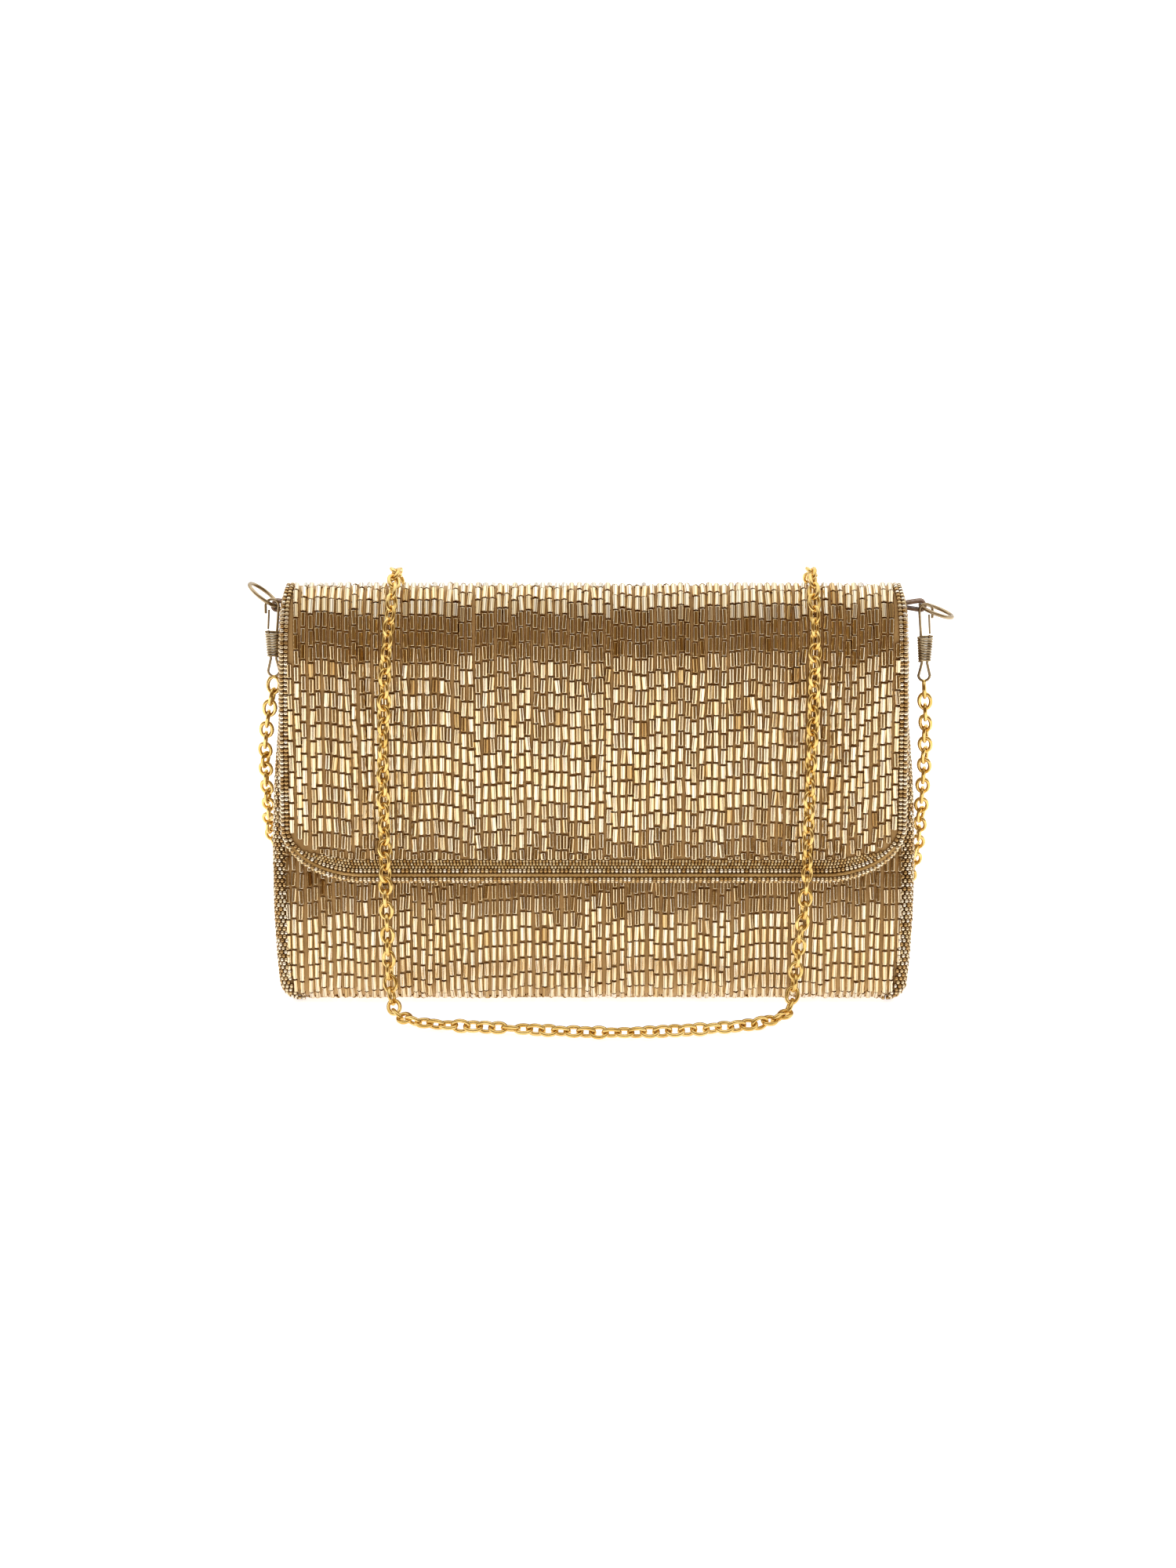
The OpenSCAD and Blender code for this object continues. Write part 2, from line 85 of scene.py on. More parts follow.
def addNode(tree, kind, settings=None, links=None, ramp=None):
    # one node: settings are its properties or sockets, links join sockets to outputs
    node = tree.nodes.new(kind)
    for key, value in (settings or {}).items():
        if isinstance(key, int) or key in node.inputs:
            node.inputs[key].default_value = colour(value) if isinstance(value, str) else value
        else:
            setattr(node, key, value)
    if ramp:
        stops = node.color_ramp.elements
        for i, (place, shade) in enumerate(ramp):
            stop = stops[i] if i < len(stops) else stops.new(place)
            stop.position = place
            stop.color = colour(shade)
    for key, socket in (links or {}).items():
        tree.links.new(socket, node.inputs[key])
    return node


def startMaterial(name, settings):
    # a material whose surface is one Principled shader
    mat = bpy.data.materials.new(name)
    mat.use_nodes = True
    tree = mat.node_tree
    tree.nodes.clear()
    surface = addNode(tree, "ShaderNodeBsdfPrincipled", settings)
    addNode(tree, "ShaderNodeOutputMaterial", {}, {"Surface": surface.outputs[0]})
    return mat, tree, surface


def bumpFrom(tree, surface, height, strength, distance):
    # a height pattern into the surface's normal, with its full height in metres
    bump = addNode(tree, "ShaderNodeBump", {"Strength": strength, "Distance": distance}, {"Height": height})
    tree.links.new(bump.outputs[0], surface.inputs["Normal"])


def objectNoise(tree, scale, detail=2.0):
    # noise on Object coordinates, which are metres, so scale is in waves per metre
    place = addNode(tree, "ShaderNodeTexCoord").outputs["Object"]
    noise = addNode(tree, "ShaderNodeTexNoise", {"Scale": scale, "Detail": detail}, {"Vector": place})
    return noise.outputs[0]


def beadMaterial(name, liningAndPaintedLightStops, tintStops, settings):
    # silver-lined glass: a bright lining down the middle of each bead with a painted highlight where the glass
    # faces outwards, amber glass at its sides darkening to brown as painted shade, darker at its ends, and
    # each bead with a tint of its own
    mat, tree, surface = startMaterial(name, settings)
    liningAndPaintedLight = addNode(tree, "ShaderNodeAttribute", {"attribute_name": "liningAndPaintedLight"})
    tint = addNode(tree, "ShaderNodeAttribute", {"attribute_name": "tint"})
    ends = addNode(tree, "ShaderNodeAttribute", {"attribute_name": "ends"})
    # the ramp over the facing value: the lining with a painted highlight where the glass faces out, and
    # painted shade round the sides
    body = addNode(tree, "ShaderNodeValToRGB", {}, {"Fac": liningAndPaintedLight.outputs["Fac"]}, ramp=liningAndPaintedLightStops)
    shade = addNode(tree, "ShaderNodeValToRGB", {}, {"Fac": tint.outputs["Fac"]}, ramp=tintStops)
    mixed = addNode(tree, "ShaderNodeMix", {"data_type": "RGBA", "blend_type": "MULTIPLY", 0: 1.0},
                    {6: body.outputs[0], 7: shade.outputs[0]})
    dark = addNode(tree, "ShaderNodeMix", {"data_type": "RGBA", "blend_type": "MIX", 7: "#8A6226"},
                   {0: ends.outputs["Fac"], 6: mixed.outputs[2]})
    tree.links.new(dark.outputs[2], surface.inputs["Base Color"])
    return mat


def wovenMaterial(name, light, dark, settings, thread, bump=0.35):
    # plain weave: two crossed waves one thread apart, over slow changes of shade
    mat, tree, surface = startMaterial(name, settings)
    place = addNode(tree, "ShaderNodeTexCoord").outputs["Object"]
    turn = 2 * math.pi / (20 * thread)  # the wave texture repeats every 2 pi / 20 at scale 1
    warp, weft = [addNode(tree, "ShaderNodeTexWave", {"bands_direction": way, "Scale": turn,
                          "Distortion": 0.6, "Detail": 1.0}, {"Vector": place}).outputs["Fac"] for way in "XZ"]
    both = addNode(tree, "ShaderNodeMath", {"operation": "ADD"}, {0: warp, 1: weft})
    slow = objectNoise(tree, 55.0, 3.0)
    shade = addNode(tree, "ShaderNodeValToRGB", {}, {"Fac": slow}, ramp=[(0.3, dark), (0.7, light)])
    tree.links.new(shade.outputs[0], surface.inputs["Base Color"])
    bumpFrom(tree, surface, both.outputs[0], bump, thread * 0.5)
    return mat


def platedMaterial(name, base, worn, settings, grain=900.0, bump=0.08):
    # metal plate: a slow change between the plate and its worn shade, and fine handling marks
    mat, tree, surface = startMaterial(name, settings)
    slow = objectNoise(tree, grain * 0.25, 3.0)
    shade = addNode(tree, "ShaderNodeValToRGB", {}, {"Fac": slow}, ramp=[(0.35, worn), (0.6, base)])
    tree.links.new(shade.outputs[0], surface.inputs["Base Color"])
    fine = objectNoise(tree, grain * 2.0, 2.0)
    low = settings["Roughness"]
    rough = addNode(tree, "ShaderNodeMapRange", {"To Min": low * 0.7, "To Max": low * 1.5}, {0: fine})
    tree.links.new(rough.outputs[0], surface.inputs["Roughness"])
    bumpFrom(tree, surface, fine, bump, 0.05 * mm)
    return mat


# bugle beads: cut glass tube with a metal lining, fire-polished, so a hard bright gloss
# the first ramp across each bugle: painted shade in brown at the round sides, the bright lining with a painted
# highlight where it faces outwards, and a thin dark line beside the middle
bugleGlass = beadMaterial(
    "silver_lined_amber_bugle_glass",
    [(0.0, "#8E6A36"), (0.12, "#C49C5C"), (0.23, "#EAD8B2"), (0.56, "#FBF2E0"), (0.585, "#9A8054"),
     (0.645, "#9A8054"), (0.67, "#FBF2E0"), (0.77, "#EAD8B2"), (0.88, "#C49C5C"), (1.0, "#8E6A36")],
    [(0.0, "#C0A270"), (0.02, "#E0CA9C"), (0.05, "#F6EAD0"), (0.4, "#FCF6E8"), (1.0, "#FFFFFF")],
    {"Metallic": 1.0, "Roughness": 0.12, "Coat Weight": 0.5, "Coat Roughness": 0.05})
# seed beads: the same glass in paler and mixed lots, round and close together
# the first ramp: the lining with a painted highlight where each bead faces outwards, and painted shade round
# its sides
seedGlass = beadMaterial(
    "silver_lined_seed_bead_glass",
    [(0.0, "#9A7C4C"), (0.35, "#D6BC8C"), (0.7, "#F4E8CC"), (1.0, "#FDF9EE")],
    [(0.0, "#AE9060"), (0.16, "#D0AE78"), (0.4, "#ECDCB8"), (0.7, "#F8F0E0"), (1.0, "#FFFFFF")],
    {"Metallic": 0.9, "Roughness": 0.2, "Coat Weight": 0.5, "Coat Roughness": 0.08})
# the finer rows inside the edging: glass with a gold lining
# the first ramp: the gold lining with a painted highlight where each bead faces outwards, and painted shade
# round its sides
goldSeedGlass = beadMaterial(
    "gold_lined_seed_bead_glass",
    [(0.0, "#8A6A34"), (0.45, "#C8A56C"), (0.8, "#EAD4A4"), (1.0, "#FAEFD0")],
    [(0.0, "#C6A46C"), (0.5, "#F0E0BE"), (1.0, "#FFFFFF")],
    {"Metallic": 0.9, "Roughness": 0.2, "Coat Weight": 0.5, "Coat Roughness": 0.08})
# backing: golden brown silk taffeta, 0.3 mm threads
backingSilk = wovenMaterial("golden_brown_silk_taffeta", "#D9B070", "#BC9254",
                            {"Roughness": 0.55, "Sheen Weight": 0.3}, 0.0003)
# lining: gold acetate satin, long smooth floats and a soft sheen, 0.25 mm threads
liningSatin = wovenMaterial("gold_acetate_satin", "#D0AC68", "#B8904C",
                            {"Roughness": 0.36, "Sheen Weight": 0.25, "Anisotropic": 0.4}, 0.00025, 0.2)
# board: cotton buckram stiffened with size, open weave
buckram = wovenMaterial("stiff_cotton_buckram", "#D8CCB0", "#BFB08E", {"Roughness": 0.9}, 0.0008, 0.6)
# edging cord: gold metal thread over a cotton core
goldThread = wovenMaterial("gold_metal_thread", "#D2AC70", "#B08A50",
                           {"Metallic": 0.7, "Roughness": 0.35}, 0.0004, 0.5)
# chain: bright yellow gold plate on brass, tumbled smooth
chainGold = platedMaterial("bright_yellow_gold_plate", "#F0D088", "#DAB464",
                           {"Metallic": 1.0, "Roughness": 0.2})
# rings and clips: champagne nickel plate, dulled by handling
champagneNickel = platedMaterial("dull_champagne_nickel_plate", "#B9A585", "#8E7858",
                                 {"Metallic": 1.0, "Roughness": 0.3}, 700.0, 0.15)
# whipping: drawn steel wire, dulled to a warm grey, with finer marks
drawnSteel = platedMaterial("drawn_steel_wire", "#C9B898", "#8F7A5C",
                            {"Metallic": 1.0, "Roughness": 0.26}, 1200.0)
# snap: polished gold plate
snapGold = platedMaterial("polished_gold_plated_brass", "#EBC36A", "#CFA24A",
                          {"Metallic": 1.0, "Roughness": 0.14})
# washers: plain zinc plate
zincPlate = platedMaterial("plain_zinc_plate", "#A9A9A6", "#8C8C88", {"Metallic": 1.0, "Roughness": 0.4})
# tabs: copper brown silk buttonhole thread, wrapped
copperThread = wovenMaterial("copper_brown_silk_thread", "#A98468", "#7E5C40",
                             {"Roughness": 0.5, "Sheen Weight": 0.3}, 0.0003, 0.5)
print("materials made")


# mesh building
def meshPiece(name, points, quads, tris, material, smooth=True, attributes=None):
    # points (n, 3) in mm; quads (k, 4) and tris (m, 3) index them
    mesh = bpy.data.meshes.new(name)
    quads = np.asarray(quads, np.int32).reshape(-1, 4)
    tris = np.asarray(tris, np.int32).reshape(-1, 3)
    corners = np.concatenate([quads.ravel(), tris.ravel()])
    starts = np.concatenate([np.arange(len(quads)) * 4, len(quads) * 4 + np.arange(len(tris)) * 3])
    mesh.vertices.add(len(points))
    mesh.vertices.foreach_set("co", (np.asarray(points, float) * mm).astype(np.float32).ravel())
    mesh.loops.add(len(corners))
    mesh.loops.foreach_set("vertex_index", corners.astype(np.int32))
    mesh.polygons.add(len(starts))
    mesh.polygons.foreach_set("loop_start", starts.astype(np.int32))
    mesh.update(calc_edges=True)
    mesh.validate()
    mesh.polygons.foreach_set("use_smooth", np.full(len(mesh.polygons), smooth))
    for key, values in (attributes or {}).items():
        mesh.attributes.new(key, "FLOAT", "POINT").data.foreach_set("value", np.asarray(values, np.float32))
    mesh.materials.append(material)
    obj = bpy.data.objects.new(name, mesh)
    bpy.context.scene.collection.objects.link(obj)
    return obj


def gridQuads(n, m, closeU=False, closeV=False, start=0):
    # quads of an n by m grid of points, stored row by row
    i, j = np.meshgrid(np.arange(n if closeU else n - 1), np.arange(m if closeV else m - 1), indexing="ij")
    a, b = i, (i + 1) % n
    c, d = j, (j + 1) % m
    return start + np.stack([a * m + c, b * m + c, b * m + d, a * m + d], -1).reshape(-1, 4)


def shellPiece(name, outer, inner, material, closeU=False):
    # a sheet with a thickness: two grids of points (n, m, 3) and a wall round their edges
    n, m = outer.shape[:2]
    top = gridQuads(n, m, closeU)
    low = gridQuads(n, m, closeU, start=n * m)[:, ::-1]
    index = np.arange(n * m).reshape(n, m)
    if closeU:
        edges = [np.append(index[:, 0], index[0, 0])[::-1], np.append(index[:, -1], index[0, -1])]
    else:
        edges = [np.concatenate([index[:, -1], index[-1, ::-1][1:], index[::-1, 0][1:], index[0, :][1:]])]
    walls = [np.stack([e[:-1], e[1:], e[1:] + n * m, e[:-1] + n * m], -1) for e in edges]
    quads = np.concatenate([top, low] + walls)
    obj = meshPiece(name, np.concatenate([outer.reshape(-1, 3), inner.reshape(-1, 3)]), quads, [], material)
    return turnOut(obj)


def turnOut(obj):
    # faces point outwards: a closed shell whose volume comes out negative is turned over
    mesh = obj.data
    mesh.calc_loop_triangles()
    co = np.empty(len(mesh.vertices) * 3, np.float32)
    mesh.vertices.foreach_get("co", co)
    co = co.reshape(-1, 3).astype(float)
    tri = np.empty(len(mesh.loop_triangles) * 3, np.int32)
    mesh.loop_triangles.foreach_get("vertices", tri)
    a, b, c = co[tri.reshape(-1, 3)].transpose(1, 0, 2)
    if np.einsum("ij,ij->i", a, np.cross(b, c)).sum() < 0:
        mesh.flip_normals()
    return obj


def endFans(levels, sides):
    # triangles that close both ends of a tube, from the two points stored after its rings
    ring = np.arange(sides)
    nextRing = (ring + 1) % sides
    last = (levels - 1) * sides
    low = np.stack([np.full(sides, levels * sides), nextRing, ring], -1)
    high = np.stack([np.full(sides, levels * sides + 1), last + ring, last + nextRing], -1)
    return np.concatenate([low, high])


def sewOn(obj, node=None, body="bag"):
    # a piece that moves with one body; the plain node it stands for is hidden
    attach(obj, body)
    if node:
        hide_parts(node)


def unit(v):
    # vectors made one long
    return v / np.maximum(np.linalg.norm(v, axis=-1, keepdims=True), 1e-12)


def beadPiece(name, centre, axis, out, radius, length, material, sides=8, bevel=0.16, cut=False):
    # beads: rings round each bead's axis. A point is centre + t axis + r (cos a out + sin a side).
    # A cut bead is a straight tube with sharp ends, a pressed one is round all over
    n = len(centre)
    axis, out = unit(axis), unit(out)
    side = np.cross(axis, out)
    a = np.arange(sides) * 2 * math.pi / sides
    radius = np.broadcast_to(radius, n)
    half = np.broadcast_to(length, n) / 2
    if cut:
        # two more rings close to the ends keep the tube between them straight
        ringR = radius[:, None] * np.array([0.84, 1, 1, 1, 1, 0.84])
        ringT = half[:, None] * np.array([-1, -1, -1, 1, 1, 1]) + bevel * np.array([0, 1, 1.7, -1.7, -1, 0])
    else:
        ringR = radius[:, None] * np.array([0.82, 1, 1, 0.82])
        ringT = half[:, None] * np.array([-1, -1, 1, 1]) + bevel * np.array([0, 1, -1, 0])
    levels = ringT.shape[1]
    around = np.cos(a)[None, :, None] * out[:, None] + np.sin(a)[None, :, None] * side[:, None]
    rings = (centre[:, None, None] + ringT[:, :, None, None] * axis[:, None, None]
             + ringR[:, :, None, None] * around[:, None])
    dip = half - bevel * 0.6  # the hole is a shallow dimple
    poles = centre[:, None] + np.stack([-dip, dip], 1)[:, :, None] * axis[:, None]
    points = np.concatenate([rings.reshape(n, -1, 3), poles], 1)
    count = levels * sides + 2
    base = (np.arange(n) * count)[:, None, None]
    quads = gridQuads(levels, sides, closeV=True)[:, ::-1]
    tris = endFans(levels, sides)
    # how squarely the glass faces outwards or, on a cut bead, the place across it from 0 to 1; the bead
    # materials turn it into the lining with a painted highlight where the glass faces out, and painted shade
    # round the sides
    if cut:
        turn = (a + math.pi) % (2 * math.pi) - math.pi
        across = np.clip(0.5 + turn / math.pi, 0, 1)
        liningAndPaintedLight = np.stack([np.append(np.tile(v, levels), [0.0, 0.0]) for v in (across, 1 - across)])
        liningAndPaintedLight = liningAndPaintedLight[(rng.random(n) < 0.4).astype(int)].ravel()
    else:
        liningAndPaintedLight = np.tile(np.clip(np.append(np.tile(np.cos(a), levels), [0.2, 0.2]), 0, 1), n)
    rim = np.zeros(levels)
    rim[[0, -1]] = 1.0
    ends = np.append(np.repeat(rim, sides), [1.0, 1.0])
    tint = rng.random(n)
    obj = meshPiece(name, points.reshape(-1, 3), quads[None] + base, tris[None] + base, material, True,
                    {"liningAndPaintedLight": liningAndPaintedLight, "ends": np.tile(ends, n), "tint": np.repeat(tint, count)})
    return turnOut(obj)


def carryFrames(tangents, start):
    # a side vector carried along a path without twist
    sides = [unit(np.asarray(start, float) - np.dot(start, tangents[0]) * tangents[0])]
    for t in tangents[1:]:
        sides.append(unit(sides[-1] - np.dot(sides[-1], t) * t))
    return np.array(sides)


def tubePiece(name, points, radius, material, sides=10, start=(0, 1, 0)):
    # a round wire or cord along points (mm), with domed ends: a ring is point + r (cos a side + sin a other)
    points = np.asarray(points, float)
    tangent = unit(np.gradient(points, axis=0))
    side = carryFrames(tangent, start)
    other = np.cross(tangent, side)
    a = np.arange(sides) * 2 * math.pi / sides
    radius = np.broadcast_to(radius, len(points)).astype(float)
    section = np.cos(a)[None, :, None] * side[:, None] + np.sin(a)[None, :, None] * other[:, None]
    rings = points[:, None] + radius[:, None, None] * section
    capLow = points[0] - tangent[0] * radius[0] * 0.5 + radius[0] * 0.7 * section[0]
    capHigh = points[-1] + tangent[-1] * radius[-1] * 0.5 + radius[-1] * 0.7 * section[-1]
    rings = np.concatenate([capLow[None], rings, capHigh[None]])
    n = len(rings)
    ends = np.stack([points[0] - tangent[0] * radius[0] * 0.7, points[-1] + tangent[-1] * radius[-1] * 0.7])
    quads = gridQuads(n, sides, closeV=True)[:, ::-1]
    points = np.concatenate([rings.reshape(-1, 3), ends])
    return turnOut(meshPiece(name, points, quads, endFans(n, sides), material))


# chain
chain = {
    "linkLength": 7.0,  # mm, outside
    "linkWidth": 5.3,
    "wire": 1.35,  # diameter
    "pitch": 4.25,
    "roll": 28.0,  # degrees, so that no link is seen edge on
    "rollSpread": 0.2,  # radians
    "steps": (22, 8),  # points round a link, and round its wire
}
# middle of the chain in mm, from the left clip over the bag and back to the right one
rearLeftRoute = [
    (-107.9, -8.1, 112.7), (-108.6, -8, 107), (-110.4, -6.5, 99), (-111.9, -3, 88), (-112.5, 3, 75),
    (-112.6, 10, 63), (-113, 17.5, 53), (-110.8, 22.6, 44), (-105.5, 26, 37), (-98.5, 27.5, 32),
    (-90.5, 27.5, 31), (-83, 26.5, 34), (-77, 25, 41), (-72.5, 23.5, 51), (-69.5, 21.6, 63),
    (-67.5, 18.8, 78), (-66.7, 15.8, 96), (-66.2, 13.7, 114), (-66, 11.7, 131)]
flapLeftRoute = [
    (-66, 11.7, 131), (-66, 9.1, 138.7), (-66.2, 4.7, 144.9), (-66.4, 0, 147.5), (-66.6, -4, 148.4),
    (-66.8, -8, 147.5), (-67, -12.7, 144.9), (-67.6, -17.1, 138.7), (-68.5, -19.6, 131), (-69.5, -21, 121),
    (-70.2, -21.3, 106), (-70.8, -21.6, 91), (-70.8, -22.2, 75), (-70.6, -23.5, 60),
    (-70.4, -25.6, 47)]
loopRoute = [
    (-70.4, -25.6, 47), (-70.2, -26.4, 38), (-69.9, -27, 28), (-69.5, -27.8, 18), (-69, -29, 10),
    (-68, -32, 4.6), (-66.3, -36.5, 2.65), (-63, -41, 2.65), (-57, -45, 2.65), (-47, -47.5, 2.65),
    (-30, -50, 2.65), (-10, -53, 2.65), (8, -54.5, 2.65), (28, -52.5, 2.65), (45, -49, 2.65),
    (55, -45.5, 2.65), (61, -41, 2.65), (65, -36, 2.65), (66.8, -32, 4.6), (68, -29, 10),
    (69, -27.8, 18), (70.2, -27, 28), (71.4, -26.4, 38), (72.1, -25.6, 47)]
flapRightRoute = [
    (72.1, -25.6, 47), (72.4, -23.5, 60), (72.8, -22.2, 75), (73.2, -21.6, 91), (73.6, -21.3, 106),
    (73.8, -21, 121), (73.8, -19.6, 131), (73.6, -17.1, 138.7), (73.4, -12.7, 144.9), (73.4, -8, 147.5),
    (73.3, -4, 148.4), (73.3, 0, 147.5), (73.3, 4.7, 144.9), (73.3, 9.1, 138.7), (73.3, 11.7, 131)]
rearRightRoute = [
    (73.3, 11.7, 131), (73.4, 13.9, 113), (73.7, 16.4, 92), (74.3, 20, 72), (75.2, 23.2, 54),
    (77, 25.2, 38), (80, 26.8, 26), (84.5, 28, 18), (91, 28.8, 14), (98, 28.6, 15),
    (105, 27.5, 20), (110, 24.2, 29), (112.6, 17.5, 41), (113.2, 10, 55), (113.2, 4, 69),
    (113.2, -1, 82), (112.8, -5, 95), (112.1, -7.7, 105), (111.6, -8.1, 111.1)]


def smoothRoute(route, steps=24):
    # Catmull-Rom curve through the points, then points an equal 0.5 mm apart along it
    p = np.asarray(route, float)
    p = np.concatenate([[2 * p[0] - p[1]], p, [2 * p[-1] - p[-2]]])
    t = (np.arange(steps) / steps)[None, :, None]
    a, b, c, d = p[:-3, None], p[1:-2, None], p[2:-1, None], p[3:, None]
    curve = 0.5 * (2 * b + (c - a) * t + (2 * a - 5 * b + 4 * c - d) * t ** 2
                   + (3 * b - a - 3 * c + d) * t ** 3)
    curve = np.concatenate([curve.reshape(-1, 3), p[-2:-1]])
    s = np.concatenate([[0], np.cumsum(np.linalg.norm(np.diff(curve, axis=0), axis=1))])
    even = np.linspace(0, s[-1], int(s[-1] / 0.5) + 1)
    return np.stack([np.interp(even, s, curve[:, k]) for k in range(3)], 1), s[-1]


def chainPiece(name, route):
    # oval links end to end along the route, each turned a quarter from the last.
    # A link is an oval of wire: a cos u along the chain, b sin u across it
    path, total = smoothRoute(route)
    count = max(1, round(total / chain["pitch"]))
    pitch = total / count
    at = (np.arange(count) + 0.5) * pitch
    s = np.linspace(0, total, len(path))
    point = lambda v: np.stack([np.interp(v, s, path[:, k]) for k in range(3)], 1)
    centre = point(at)
    along = unit(point(np.clip(at + pitch * 0.6, 0, total)) - point(np.clip(at - pitch * 0.6, 0, total)))
    side = carryFrames(along, (0.9, 0.3, 0.2))
    other = np.cross(along, side)
    turn = math.radians(chain["roll"]) + np.arange(count) * math.pi / 2
    turn = turn + rng.normal(0, chain["rollSpread"], count)
    across = np.cos(turn)[:, None] * side + np.sin(turn)[:, None] * other
    face = np.cross(along, across)
    r = chain["wire"] / 2
    a, b = chain["linkLength"] / 2 - r, chain["linkWidth"] / 2 - r
    n, m = chain["steps"]
    u = np.arange(n) * 2 * math.pi / n
    v = np.arange(m) * 2 * math.pi / m
    line = np.stack([a * np.cos(u), b * np.sin(u)], 1)
    normal = unit(np.stack([b * np.cos(u), a * np.sin(u)], 1))
    flatPart = line[:, None] + r * np.cos(v)[None, :, None] * normal[:, None]
    thick = np.broadcast_to(r * np.sin(v)[None, :, None], (n, m, 1))
    local = np.concatenate([flatPart, thick], 2).reshape(-1, 3)
    basis = np.stack([along, across, face], 1)
    points = centre[:, None] + np.einsum("pk,nkc->npc", local, basis)
    quads = gridQuads(n, m, closeU=True, closeV=True)[None] + (np.arange(count) * n * m)[:, None, None]
    obj = meshPiece(name, points.reshape(-1, 3), quads, [], chainGold)
    return turnOut(obj), path, total


def layChain(name, route, node, body, second=None, start=None, end=None):
    # a length that joins two bodies is baked where it lies and moves with neither; start and end, two planes
    # in metres, are not used
    obj, path, total = chainPiece(name, route)
    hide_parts(node)
    if second:
        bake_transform(obj)
    else:
        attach(obj, body)
    return total


overFold = ("flap", (0, 0.0130, 0.131), (0, 0.0045, 0.131))
overEdge = ("chain_drop", (0, -0.026, 0.041), (0, -0.026, 0.025))
chainTotal = sum([
    layChain("chainRearLeft", rearLeftRoute, "chain_rear_left", "bag"),
    layChain("chainOverLeft", flapLeftRoute, "chain_flap_left", "bag", *overFold),
    layChain("chainLoop", loopRoute, "chain_loop", "flap", *overEdge),
    layChain("chainOverRight", flapRightRoute, "chain_flap_right", "bag", *overFold),
    layChain("chainRearRight", rearRightRoute, "chain_rear_right", "bag")])
print("chain laid: %.0f mm" % chainTotal)


# outline of the bag, in mm
bag = {
    "halfWidth": 109.5,
    "wideZ": 50.0,
    "topNarrow": 8.2,  # how much narrower each side is at the fold, and at the base
    "lowNarrow": 2.5,
    "foldZ": 131.0,  # where the back turns into the flap
    "frontTop": 128.0,
    "foot": 20.0,  # half depth at the base
    "bottomRadius": 8.0,
    "bellyZ": 14.0,  # below this the front is upright, and the back from backRise higher
    "backRise": 2.0,
    "rim": 2.6,  # width of the gusset's rim beside the panels
}
flap = {
    "half": 106.0,
    "edgeZ": 45.0,
    "uprightZ": 66.0,  # its sides are upright below this
    "narrow": 1.0,  # how much narrower each side is at the fold, and more at the top
    "topNarrow": 1.0,
    "cornerWide": 28.0,
    "cornerTall": 19.0,
    "rollY": -4.0,  # the roll at the top is half an ellipse
    "rollRadius": 14.0,
    "rollZ": 119.0,
    "rollHeight": 26.0,
    "lean": 1.5,
    "flare": 3.0,
    "thick": 4.0,
    "gap": 2.0,
}


def sideX(z):
    # half width at a height: widest at wideZ, narrower as the square of the distance from it
    up = np.clip((z - bag["wideZ"]) / (bag["foldZ"] - bag["wideZ"]), 0, 1)
    down = np.clip((bag["wideZ"] - z) / bag["wideZ"], 0, 1)
    return bag["halfWidth"] - bag["topNarrow"] * up ** 2 - bag["lowNarrow"] * down ** 2


def flapX(z):
    # the flap's half width: upright low down, narrower as a square, and a fourth power over the roll
    up = np.maximum(0, z - flap["uprightZ"]) / (bag["foldZ"] - flap["uprightZ"])
    over = np.maximum(0, z - bag["foldZ"]) / (flap["rollZ"] + flap["rollHeight"] - bag["foldZ"])
    return flap["half"] - flap["narrow"] * up ** 2 - flap["topNarrow"] * over ** 4


def rollReach(z):
    # half depth of the roll at a height: an ellipse that springs from rollZ
    up = np.clip((z - flap["rollZ"]) / flap["rollHeight"], 0, 1)
    return flap["rollRadius"] * np.sqrt(1 - up ** 2)


def flapY(z):
    # the flap's outer face: the roll's ellipse, then a lean and a flare with the fifth power near its edge
    s = np.maximum(0, flap["rollZ"] - z) / (flap["rollZ"] - flap["edgeZ"])
    return flap["rollY"] - rollReach(z) - flap["lean"] * s - flap["flare"] * s ** 5


def flapSlope(z):
    # dy / dz of the flap's outer face
    return (flapY(z + 0.1) - flapY(z - 0.1)) / 0.2


def underFlapY(z):
    # the face a flap's thickness and a gap behind the flap, square to it
    return flapY(z) + (flap["thick"] + flap["gap"]) * np.sqrt(1 + flapSlope(z) ** 2)


def frontY(z):
    # under the flap it follows the flap; below, a cubic swells to an upright foot
    z = np.asarray(z, float)
    run = flap["edgeZ"] - bag["bellyZ"]
    t = np.clip((flap["edgeZ"] - z) / run, 0, 1)
    pull = -flapSlope(flap["edgeZ"] + 0.1) * run
    belly = ((2 * t ** 3 - 3 * t ** 2 + 1) * underFlapY(flap["edgeZ"]) + (t ** 3 - 2 * t ** 2 + t) * pull
             + (3 * t ** 2 - 2 * t ** 3) * -bag["foot"])
    return np.where(z >= flap["edgeZ"], underFlapY(np.maximum(z, flap["edgeZ"])), belly)


def backY(z):
    # the roll's ellipse, then half a cosine wave out to the foot
    u = np.clip((flap["rollZ"] - z) / (flap["rollZ"] - bag["bellyZ"] - bag["backRise"]), 0, 1)
    out = bag["foot"] - flap["rollY"] - flap["rollRadius"]
    return flap["rollY"] + rollReach(z) + out * (1 - np.cos(math.pi * u)) / 2


def makePath(y, z):
    # a line in the side view with its length and its outward normal (dz, -dy)
    s = np.concatenate([[0], np.cumsum(np.hypot(np.diff(y), np.diff(z)))])
    dy, dz = np.gradient(y, s), np.gradient(z, s)
    size = np.hypot(dy, dz)
    bend = np.abs(np.gradient(np.unwrap(np.arctan2(dz, dy)), s))
    return {"s": s, "y": y, "z": z, "ny": dz / size, "nz": -dy / size, "bend": bend, "length": s[-1]}


